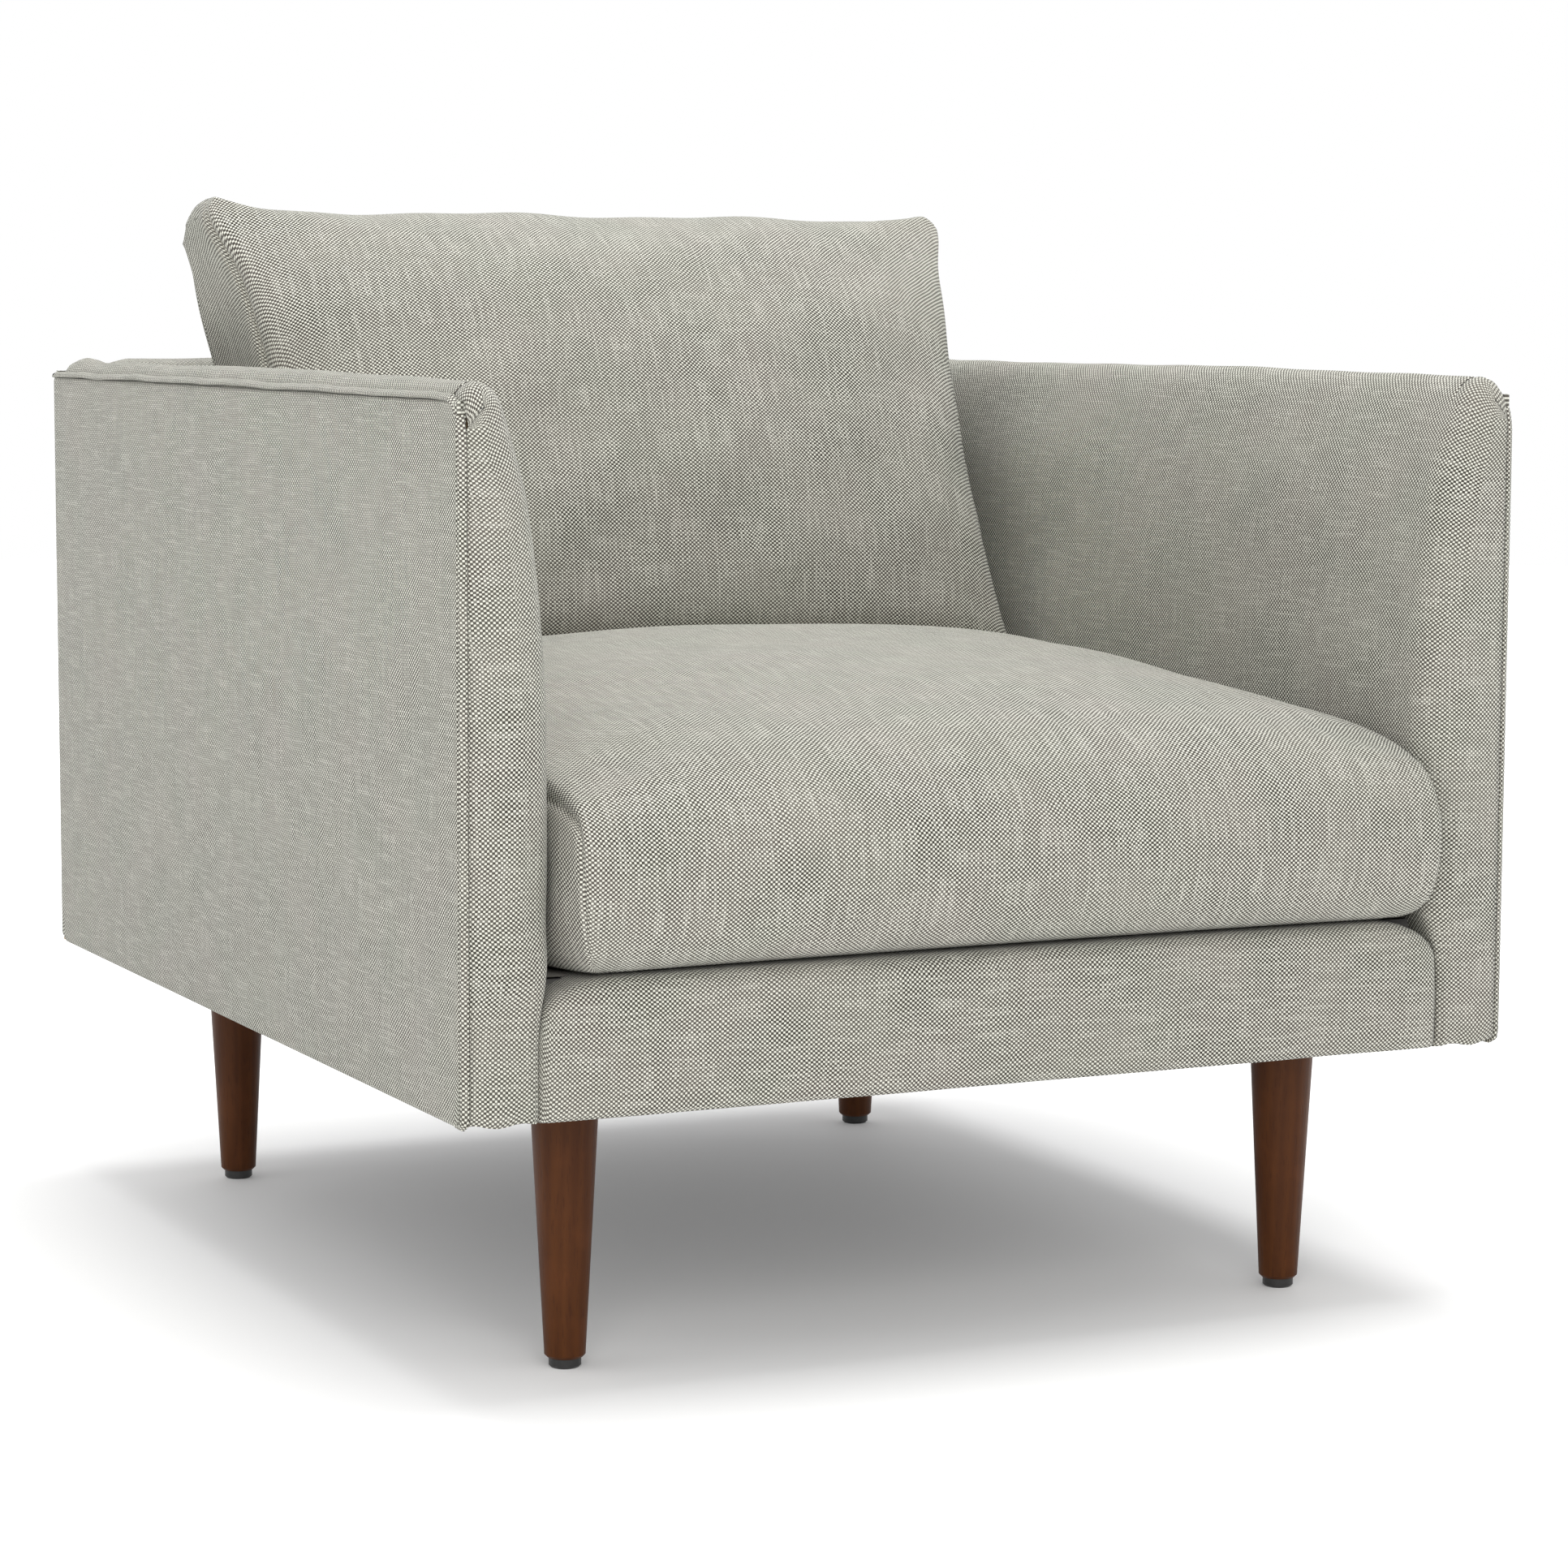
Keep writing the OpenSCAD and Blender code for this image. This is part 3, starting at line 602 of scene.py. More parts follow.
def build_mesh(name, grids, material, smooth=True):
    """One mesh from grids of points and their places on the cloth. Points that meet are joined."""
    points, faces, places = [], [], []
    start = 0
    for p, uv in grids:
        rows, columns = p.shape[:2]
        k = np.arange(rows * columns).reshape(rows, columns) + start
        quad = np.stack([k[:-1, :-1], k[:-1, 1:], k[1:, 1:], k[1:, :-1]], axis=-1).reshape(-1, 4)
        flat = uv.reshape(-1, 2)
        faces.append(quad)
        places.append(flat[quad - start])
        points.append(p.reshape(-1, 3))
        start += rows * columns
    points, faces, places = np.vstack(points), np.vstack(faces), np.vstack(places)
    snapped = np.round(points / WELD).astype(np.int64)
    _, kept, index = np.unique(snapped, axis=0, return_index=True, return_inverse=True)
    points, faces = points[kept], index.reshape(-1)[faces]
    loops, spots = [], []
    for face, place in zip(faces.tolist(), places.tolist()):
        corner, spot = [], []
        for n in range(4):
            if face[n] != face[n - 1]:
                corner.append(face[n])
                spot.append(place[n])
        if len(set(corner)) >= 3 and len(set(corner)) == len(corner):
            loops.append(corner)
            spots.extend(spot)
    mesh = bpy.data.meshes.new(name)
    mesh.from_pydata(points.tolist(), [], loops)
    layer = mesh.uv_layers.new(name=CLOTH_MAP)
    layer.data.foreach_set("uv", np.array(spots, np.float32).ravel())
    mesh.materials.append(material)
    mesh.shade_smooth() if smooth else mesh.shade_flat()
    mesh.validate()
    made = bpy.data.objects.new(name, mesh)
    bpy.context.scene.collection.objects.link(made)
    return made


def cloth_places(p):
    """Where each point of a grid lies on its flat cloth, from mean distances along its rows and columns."""
    across = np.linalg.norm(np.diff(p, axis=1), axis=2)
    up = np.linalg.norm(np.diff(p, axis=0), axis=2)
    u = np.concatenate([np.zeros((p.shape[0], 1)), np.cumsum(across, axis=1)], axis=1)
    v = np.concatenate([np.zeros((1, p.shape[1])), np.cumsum(up, axis=0)], axis=0)
    u -= u[:, [p.shape[1] // 2]]
    return np.stack([u, v], axis=-1)


def sweep(name, path, section, turn, material):
    """A capped tube: a closed flat section carried along a path. turn gives the outward directions."""
    path, turn = np.array(path, float), np.array(turn, float)
    ahead = np.gradient(path, axis=0)
    ahead /= np.linalg.norm(ahead, axis=1)[:, None]
    out = turn - (turn * ahead).sum(1)[:, None] * ahead
    out /= np.linalg.norm(out, axis=1)[:, None]
    side = np.cross(ahead, out)
    section = np.vstack([section, section[:1]])
    p = path[:, None] + out[:, None] * section[None, :, 1:2] + side[:, None] * section[None, :, 0:1]
    girth = runs(np.hstack([section, np.zeros((len(section), 1))]))
    uv = np.stack(np.meshgrid(girth, runs(path)), axis=-1)
    grids = [(p, uv)]
    for k, way in ((0, 1), (-1, -1)):
        ring = p[k][::way]
        fan = np.stack([ring, np.tile(ring[:-1].mean(0), (len(ring), 1))], axis=0)
        grids.append((fan, np.zeros((*fan.shape[:2], 2))))
    return build_mesh(name, grids, material)


def oval(width, thick):
    """The outline of a rounded flat strip."""
    t = np.linspace(0, 2 * math.pi, 10, endpoint=False)
    c, s = np.cos(t), np.sin(t)
    x = np.sign(c) * np.abs(c) ** 0.7 * width / 2
    y = np.sign(s) * np.abs(s) ** 0.9 * thick / 2
    return np.stack([x, y], axis=-1)


def joined(name, parts):
    """Several objects made into one."""
    first = parts[0]
    with bpy.context.temp_override(active_object=first, selected_editable_objects=parts, object=first):
        bpy.ops.object.join()
    first.name = first.data.name = name
    return first


def stitches(name, lines, material, body):
    """Sewing thread along lines of points: each stitch stands a little out of the cloth between two holes."""
    sizes = bpy.context.scene.chair_sizes
    pitch, r = sizes.stitch_l, sizes.thread_d / 2
    grids = []
    angle = np.linspace(0, 2 * math.pi, 7)
    for points, normals in lines:
        run = runs(points)
        n = max(1, int(run[-1] / (pitch * 1.25)))
        for k in range(n):
            at = (k + 0.15 + 0.75 * np.array([0, 0.22, 0.5, 0.78, 1])) * run[-1] / n
            line = np.stack([np.interp(at, run, points[:, c]) for c in range(3)], axis=-1)
            out = np.stack([np.interp(at, run, normals[:, c]) for c in range(3)], axis=-1)
            out /= np.linalg.norm(out, axis=1)[:, None]
            ahead = line[-1] - line[0]
            length = np.linalg.norm(ahead)
            if length < 1e-6:
                continue
            side = np.cross(ahead / length, out)
            lift = np.array([-0.8, 0.5, 0.8, 0.5, -0.8])[:, None] * r
            centre = line + out * lift
            ring = centre[:, None] + r * (
                np.cos(angle)[None, :, None] * out[:, None] + np.sin(angle)[None, :, None] * side[:, None]
            )
            uv = np.stack(np.meshgrid(angle * r, at), axis=-1)
            grids.append((ring, uv))
    made = build_mesh(name, grids, material)
    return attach(made, body)


def declare_cloth(solid, cut):
    """Works out a cover's flat size with cut, from the size of the solid it stands for, and does nothing more
    with it.

    It is never worked out from the cover's own mesh.
    """
    low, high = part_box(solid)
    width, length = cut(high - low)


def mesh_points(mesh):
    """The places of a mesh's points."""
    p = np.zeros(len(mesh.vertices) * 3, np.float32)
    mesh.vertices.foreach_get("co", p)
    return p.reshape(-1, 3).astype(float)


def set_points(mesh, p):
    """Moves a mesh's points to new places."""
    mesh.vertices.foreach_set("co", p.astype(np.float32).ravel())
    mesh.update()


def mesh_normals(mesh):
    """The outward directions at a mesh's points."""
    n = np.zeros(len(mesh.vertices) * 3, np.float32)
    mesh.vertices.foreach_get("normal", n)
    return n.reshape(-1, 3).astype(float)


def neighbours(mesh):
    """A function that turns values at a mesh's points into the means at the points they are joined to."""
    ends = np.zeros(len(mesh.edges) * 2, np.int32)
    mesh.edges.foreach_get("vertices", ends)
    a, b = ends.reshape(-1, 2).T
    count = np.maximum(np.bincount(np.concatenate([a, b]), minlength=len(mesh.vertices)), 1)[:, None]

    def mean(values):
        total = np.zeros_like(values)
        np.add.at(total, a, values[b])
        np.add.at(total, b, values[a])
        return total / count

    return mean


def padding_under(cover, name, depth, material, *nodes, inside=None):
    """The padding that fills a cover: the same shape, a little smaller and softer, and inside two corners."""
    mesh = cover.data.copy()
    place, normal = mesh_points(mesh), mesh_normals(mesh)
    mean = neighbours(mesh)
    for _ in range(SPREAD):
        for values, share in ((place, 0.35), (normal, 1.0)):
            values += (mean(values) - values) * share
    normal /= np.maximum(np.linalg.norm(normal, axis=1), 1e-6)[:, None]
    place = place - depth * normal
    if inside:
        place = np.clip(place, inside[0], inside[1])
    set_points(mesh, place)
    mesh.materials.clear()
    mesh.materials.append(material)
    made = bpy.data.objects.new(name, mesh)
    mesh.name = name
    bpy.context.scene.collection.objects.link(made)
    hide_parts(*nodes)
    return made


# ---- arms ----

ARM_SECTION = [
    (0.0540, 0.1930), (0.0540, 0.2200), (0.0542, 0.2450), (0.0562, 0.2640), (0.0612, 0.2820),
    (0.0655, 0.3020), (0.0675, 0.3400), (0.0680, 0.4000), (0.0670, 0.4720), (0.0643, 0.5140),
    (0.0605, 0.5560), (0.0545, 0.5980), (0.0465, 0.6290), (0.0395, 0.6495), (0.0325, 0.6645),
    (0.0255, 0.6725), (0.0180, 0.6755), (0.0110, 0.6735), (0.0060, 0.6675), (0.0042, 0.6625),
]  # fmt: skip
ARM_TURN = 0.032


def arm_section(samples):
    """The arm's inner face and top, as (distance in from the chair's side, height), with outward normals."""
    line = smooth_line(ARM_SECTION, samples)
    ahead = np.gradient(line, axis=0)
    normal = np.stack([ahead[:, 1], -ahead[:, 0]], axis=-1)
    return line, normal / np.linalg.norm(normal, axis=1)[:, None]


def arm_inner_u(z):
    """How far the arm's inner face stands in from the chair's side at a height."""
    line, _ = arm_section(np.linspace(0, 1, 200))
    top = int(line[:, 1].argmax())
    return np.interp(z, line[:top, 1], line[:top, 0])


def arm_cover_grids(side):
    """Front band with its rounded inner edge, then the inner face and the top strip."""
    line, normal = arm_section(shares(0.70, 0.0085, 0.0012))
    rows = len(line)
    run = runs(line)
    on_top = rise(run, run[-1] - 0.070, run[-1] - 0.035)
    round_r = 0.004 + 0.022 * rise(line[:, 1], 0.255, 0.33)
    round_r = round_r * (1 - on_top) + 0.017 * on_top
    sewn = rise(run, run[-1] - 0.050, run[-1] - 0.038)
    down = np.maximum(normal, 0)
    down /= np.linalg.norm(down, axis=1)[:, None]
    inset = line - down * round_r[:, None]
    inset[:, 0] = np.maximum(inset[:, 0], 0.0062)
    seam_z = np.minimum(inset[:, 1], inset[-1, 1])
    seam_z[int(inset[:, 1].argmax()) :] = inset[-1, 1]
    grid = []
    for k in range(rows):
        start = np.array([0.0052, seam_z[k]])
        path = [(start[0], start[1], 0.010), (start[0] - 0.0002, start[1], 0.0035)]
        path += [(*(start + (inset[k] - start) * t), 0.0) for t in np.linspace(0, 1, 8)]
        for angle in np.linspace(0, math.pi / 2, 8)[1:]:
            q = inset[k] + (line[k] - inset[k]) * math.sin(angle)
            path.append((q[0], q[1], (1 - math.cos(angle)) * round_r[k]))
        for share, crease in ((0.28, 0.0), (0.42, 0.3), (0.5, 1.0), (0.58, 0.3), (0.72, 0.0), (1.0, 0.0)):
            q = line[k] - normal[k] * 0.0014 * crease * sewn[k]
            path.append((q[0], q[1], round_r[k] + (ARM_TURN - round_r[k]) * share))
        grid.append(path)
    front = np.array(grid)
    bulge = 0.0022 * np.sin(math.pi * np.clip((front[..., 0] - 0.006) / 0.056, 0, 1)) * (front[..., 2] < 1e-6)
    low = np.clip(1 - (front[..., 1] - BASE_Z) / 0.009, 0, 1)
    back = front[..., 2] - bulge + 0.005 * (1 - np.sqrt(1 - low**2))
    p = np.stack([front[..., 0], back, front[..., 1]], axis=-1)
    near_hem = 1 - rise(p[..., 2], BASE_Z + 0.001, BASE_Z + 0.024)
    p[..., 2] += 0.0012 * (1 - rise(p[..., 0], 0.004, 0.016)) * near_hem
    p[..., 2] += 0.0012 * np.sin(p[..., 0] * 190) * (1 - rise(p[..., 2], BASE_Z, BASE_Z + 0.02))
    wobble = 0.0006 * wave_noise(p, 0.09, 11 + side)
    p[..., 1] += wobble * rise(front[..., 0], 0.006, 0.02) * (front[..., 2] < 0.02)
    p[..., 1] += FRONT_Y
    steps = np.linalg.norm(np.diff(p, axis=1), axis=2)
    u = np.concatenate([np.cumsum(steps[:, ::-1], axis=1)[:, ::-1], np.zeros((rows, 1))], axis=1)
    v = np.repeat(run[:, None], p.shape[1], axis=1)
    uv_front = np.stack([-u * side, v], axis=-1)

    along = shares(REAR_Y - FRONT_Y - ARM_TURN, 0.010)
    ys = FRONT_Y + ARM_TURN + along * (REAR_Y - 0.0016 - FRONT_Y - ARM_TURN)
    q = np.stack(
        [
            np.repeat(line[:, 0:1], len(ys), axis=1),
            np.repeat(ys[None], rows, axis=0),
            np.repeat(line[:, 1:2], len(ys), axis=1),
        ],
        axis=-1,
    )
    soft = wave_noise(q, 0.13, 23 + side) * 0.0009 * rise(ys, ys[0], ys[0] + 0.05)[None]
    crown = 0.0025 * np.sin(math.pi * np.clip((ys - ys[0]) / (ys[-1] - ys[0]), 0, 1))[None]
    lift = rise(line[:, 1], 0.64, 0.672)[:, None] * rise(line[:, 0], 0.006, 0.014)[:, None]
    puff = 0.0045 * np.exp(-(((ys - ys[-1] + 0.045) / 0.03) ** 2))[None]
    q[..., 0] += soft * rise(line[:, 0], 0.02, 0.05)[:, None] * normal[:, 0:1]
    q[..., 2] += lift * (soft * 0.8 + crown + puff)
    corner = 0.018
    fall = corner * (1 - np.sqrt(1 - np.clip((ys - ys[-1] + corner) / corner, 0, 1) ** 2))
    q[..., 2] -= 0.7 * fall[None] * rise(line[:, 1], 0.62, 0.67)[:, None]
    v = np.repeat(run[:, None], len(ys), axis=1)
    u = np.repeat((ys - ys[0])[None] * side, rows, axis=0)
    uv_inner = np.stack([u, v], axis=-1)
    grids = []
    for points, uv in ((p, uv_front), (q, uv_inner)):
        points = points.copy()
        points[..., 0] = side * (HALF_W - points[..., 0])
        if side > 0:
            points, uv = points[:, ::-1], uv[:, ::-1]
        grids.append((points, uv))
    return grids


def welt_path(side):
    """Up the outer front edge of an arm, over the corner and back along its top outer edge."""
    x = side * (HALF_W - 0.0019)
    corner = [
        (FRONT_Y + 0.014, BASE_Z + 0.0010), (FRONT_Y + 0.006, BASE_Z + 0.0016),
        (FRONT_Y + 0.0020, BASE_Z + 0.0065),
        (FRONT_Y + 0.0015, BASE_Z + 0.030), (FRONT_Y + 0.0015, 0.35), (FRONT_Y + 0.0015, 0.52),
        (FRONT_Y + 0.0015, 0.622), (FRONT_Y + 0.0026, 0.6445), (FRONT_Y + 0.0085, 0.6575),
        (FRONT_Y + 0.0200, 0.6636), (FRONT_Y + 0.047, 0.6656), (-0.20, 0.6664), (0.05, 0.6668),
        (0.30, 0.6660), (REAR_Y - 0.012, 0.6650), (REAR_Y - 0.001, 0.6640),
    ]  # fmt: skip
    line = smooth_line(corner, shares(1.38, 0.006))
    wobble = 0.0005 * wave_noise(line, 0.07, 5) * rise(line[:, 0], -0.43, -0.40)
    path = np.stack([np.full(len(line), x), line[:, 0], line[:, 1] + wobble], axis=-1)
    ahead = np.gradient(line, axis=0)
    ahead /= np.linalg.norm(ahead, axis=1)[:, None]
    out = np.stack([np.full(len(line), 0.75 * side), -ahead[:, 1], ahead[:, 0]], axis=-1)
    return path, out


class CHAIR_OT_arms(bpy.types.Operator):
    """Stretch the cloth over the arms, with their welts and the seam at the front of their tops"""

    bl_idname = "chair.arms"
    bl_label = "Cover Arms"

    def execute(self, context):
        sizes = context.scene.chair_sizes
        cloth = upholstery(0.28, 0.38)
        for side, label in ((-1, "left"), (1, "right")):
            cover = build_mesh(f"arm_cloth_{label}", arm_cover_grids(side), cloth)
            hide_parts(f"arm_cover_{label}")
            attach(cover, "chair")
            declare_cloth(
                f"arm_cover_{label}",
                lambda size: (size.y + size.x, size.z + size.x),
            )
            ends = sorted((side * 0.30, side * (HALF_W - 0.0080)))
            room = ((ends[0], FRONT_Y + 0.003, BASE_Z + 0.002), (ends[1], REAR_Y - 0.004, 0.70))
            padding = padding_under(
                cover, f"arm_padding_{label}", ARM_PADDING, foam(), f"arm_foam_{label}", inside=room
            )
            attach(padding, "chair")
            path, out = welt_path(side)
            welt = sweep(f"arm_welt_{label}", path, oval(sizes.welt_w, sizes.welt_t), out, cloth)
            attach(welt, "chair")
            line, normal = arm_section(np.linspace(0, 1, 200))
            sewn = slice(186, 198)
            top = line[sewn]
            seam = np.stack(
                [
                    side * (HALF_W - top[:, 0]),
                    np.full(len(top), FRONT_Y + (0.017 + ARM_TURN) / 2),
                    top[:, 1] - 0.0008,
                ],
                axis=-1,
            )
            up = np.stack([-side * normal[sewn, 0], np.full(len(top), -0.3), normal[sewn, 1]], axis=-1)
            thread = rough_stuff("Dark Thread", (0.05, 0.045, 0.04), (0.10, 0.09, 0.08), 900.0, 0.3)
            stitches(f"arm_front_stitches_{label}", [(seam, up)], thread, "chair")
        return {"FINISHED"}


class CHAIR_OT_sides(bpy.types.Operator):
    """Stretch the cloth over the outer sides of the arms and over the outside back"""

    bl_idname = "chair.sides"
    bl_label = "Cover Sides and Outside Back"

    def execute(self, context):
        cloth = upholstery(0.28, 0.42)
        for side, label in ((-1, "left"), (1, "right")):
            low_y, high_y = FRONT_Y + 0.0038, REAR_Y - 0.0005
            low_z, high_z = BASE_Z, 0.6632
            grid = self.panel(high_y - low_y, high_z - low_z, 31 + side)
            p = np.stack(
                [
                    side * (HALF_W + 0.0003 + grid[..., 2]),
                    low_y + grid[..., 0],
                    low_z + grid[..., 1],
                ],
                axis=-1,
            )
            uv = np.stack([grid[..., 3] * side, grid[..., 4]], axis=-1)
            if side < 0:
                p, uv = p[:, ::-1], uv[:, ::-1]
            cover = build_mesh(f"arm_side_cloth_{label}", [(p, uv)], cloth)
            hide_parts(f"arm_side_panel_{label}")
            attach(cover, "chair")
            declare_cloth(
                f"arm_side_panel_{label}",
                lambda size: (size.y, size.z),
            )
        half = HALF_W - 0.0022
        grid = self.panel(2 * half, 0.6685 - BASE_Z, 41)
        p = np.stack([half - grid[..., 0], REAR_Y + 0.0003 + grid[..., 2], BASE_Z + grid[..., 1]], axis=-1)
        uv = np.stack([grid[..., 3], grid[..., 4]], axis=-1)
        cover = build_mesh("outside_back_cloth", [(p, uv)], cloth)
        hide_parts("outside_back_panel")
        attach(cover, "chair")
        declare_cloth("outside_back_panel", lambda size: (size.x, size.z))
        thread = sewing_thread()
        edges = []
        for x in (-half + 0.0045, half - 0.0045):
            z = np.linspace(BASE_Z + 0.01, 0.66, 40)
            line = np.stack([np.full(40, x), np.full(40, REAR_Y + 0.0008), z], axis=-1)
            edges.append((line, np.tile([0.0, 1.0, 0.0], (40, 1))))
        x = np.linspace(-half + 0.01, half - 0.01, 60)
        line = np.stack([x, np.full(60, REAR_Y + 0.0008), np.full(60, 0.6640)], axis=-1)
        edges.append((line, np.tile([0.0, 1.0, 0.0], (60, 1))))
        stitches("outside_back_stitches", edges, thread, "chair")
        return {"FINISHED"}

    def panel(self, width, height, seed):
        """A panel with its edges turned in: across, up, out of its plane, and its place on the cloth."""
        step = bpy.context.scene.chair_sizes.grid
        turn_in, turn_out = np.array([0.0003, 0.0, 0.0006]), np.array([-0.0060, -0.0030, -0.0012])
        flat_from = 0.0028

        def line(length):
            middle = np.linspace(flat_from, length - flat_from, round(length / step))
            places = np.concatenate([turn_in, middle, length - turn_in[::-1]])
            return places, np.concatenate([turn_out, np.zeros(len(middle)), turn_out[::-1]])

        (xs, outs), (zs, zouts) = line(width), line(height)
        x, z = np.meshgrid(xs, zs)
        out = np.minimum(outs[None], zouts[:, None])
        edge = rise(np.minimum(x, width - x), 0, 0.05) * rise(np.minimum(z, height - z), 0, 0.05)
        spot = np.stack([x, z], axis=-1)
        puff = 0.0009 * edge + 0.0007 * wave_noise(spot, 0.12, seed) * edge
        corner = 0.012
        near_end = np.clip(1 - np.minimum(x, width - x) / corner, 0, 1)
        lifted = z + corner * (1 - np.sqrt(1 - near_end**2)) * (1 - rise(z, 0, 0.06))
        return np.stack([x, lifted, out + puff, x - width / 2, z], axis=-1)


class CHAIR_OT_inside_back(bpy.types.Operator):
    """Stretch the cloth over the inside and the top of the back frame"""

    bl_idname = "chair.inside_back"
    bl_label = "Cover Inside Back"

    def execute(self, context):
        section = smooth_line(
            [
                (INSIDE_BACK_Y + 0.004, DECK_Z - 0.004), (INSIDE_BACK_Y + 0.001, 0.32),
                (INSIDE_BACK_Y, 0.45), (INSIDE_BACK_Y, 0.60), (INSIDE_BACK_Y + 0.001, 0.650),
                (INSIDE_BACK_Y + 0.006, 0.6690), (INSIDE_BACK_Y + 0.018, 0.6770),
                (INSIDE_BACK_Y + 0.045, 0.6800), (REAR_Y - 0.020, 0.6770), (REAR_Y - 0.006, 0.6715),
                (REAR_Y - 0.0015, 0.6655),
            ],
            shares(0.50, 0.009),
        )  # fmt: skip
        across = shares(2 * 0.36, 0.011, 0.003) * 2 - 1
        half = HALF_W - arm_inner_u(np.minimum(section[:, 1], 0.6725)) - 0.0004
        x = half[:, None] * across[None]
        y = np.repeat(section[:, 0:1], len(across), axis=1)
        z = np.repeat(section[:, 1:2], len(across), axis=1)
        end = rise(np.abs(across), 0.93, 1.0)[None] * rise(section[:, 1], 0.655, 0.672)[:, None]
        z = z - 0.0065 * end
        p = np.stack([x, y, z], axis=-1)
        top = rise(section[:, 1], 0.655, 0.675)[:, None]
        p[..., 2] += top * (0.0010 * wave_noise(p, 0.11, 61))
        p[..., 1] -= (1 - top) * 0.002 * (1 - across[None] ** 4)
        cloth = upholstery(0.4, 0.3)
        cover = build_mesh("inside_back_cloth", [(p, cloth_places(p))], cloth)
        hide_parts("inside_back_cover")
        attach(cover, "chair")
        declare_cloth(
            "inside_back_cover", lambda size: (size.x, size.z + size.y)
        )
        padding = padding_under(cover, "back_padding", THIN_PADDING, foam(), "back_foam")
        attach(padding, "chair")
        return {"FINISHED"}


class CHAIR_OT_rail(bpy.types.Operator):
    """Stretch the cloth over the front rail, with its rounded top corners"""

    bl_idname = "chair.rail"
    bl_label = "Cover Front Rail"

    def execute(self, context):
        half = RAIL_HALF - 0.0003
        front = FRONT_Y - 0.0012
        across = shares(2 * half, 0.010, 0.0022) * 2 - 1
        x = across * half
        corner = 0.053
        t = np.clip((np.abs(x) - (half - corner)) / corner, 0, 1)
        top = DECK_Z + 0.0006 - 0.030 * (1 - np.sqrt(np.clip(1 - t**2.3, 0, 1)))
        section = smooth_line(
            [
                (0.030, 0.0008), (0.012, 0.0), (0.0035, 0.0004), (0.0, 0.0035), (-0.0006, 0.012),
                (-0.0010, 0.045), (-0.0004, 0.072), (0.0, 0.0815), (0.0022, 0.0880), (0.0075, 0.0922),
                (0.015, 0.0934), (0.030, 0.0936), (0.052, 0.0934),
            ],
            shares(0.19, 0.0045),
        )  # fmt: skip
        depth, height = section[:, 0:1], section[:, 1:2] / 0.0934
        z = BASE_Z + height * (top[None] - BASE_Z)
        y = front + np.repeat(depth, len(x), axis=1)
        end = rise(np.abs(x), half - 0.006, half)[None]
        y = y + 0.0055 * end * (depth < 0.02)
        p = np.stack([np.repeat(x[None], len(section), axis=0), y, z], axis=-1)
        p[..., 1] -= 0.0008 * wave_noise(p, 0.10, 71) * (1 - end)
        p[..., 1] -= 0.0020 * rise(height, 0.0, 0.3) * (1 - across[None] ** 8) * (depth < 0.02)
        returned = p[:, [0, -1]].copy()
        turned_ends, turned_under = 0.020, 0.030
        returned[..., 1] += turned_ends
        p = np.concatenate([returned[:, :1], p, returned[:, 1:]], axis=1)
        cloth = upholstery(0.2, 0.42)
        cover = build_mesh("front_rail_cloth", [(p, cloth_places(p))], cloth)
        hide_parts("front_rail_cover")
        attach(cover, "chair")
        declare_cloth(
            "front_rail_cover",
            lambda size: (size.x + 2 * turned_ends, size.z + size.y + turned_under),
        )
        padding = padding_under(cover, "rail_padding", THIN_PADDING, foam(), "rail_foam")
        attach(padding, "chair")
        return {"FINISHED"}


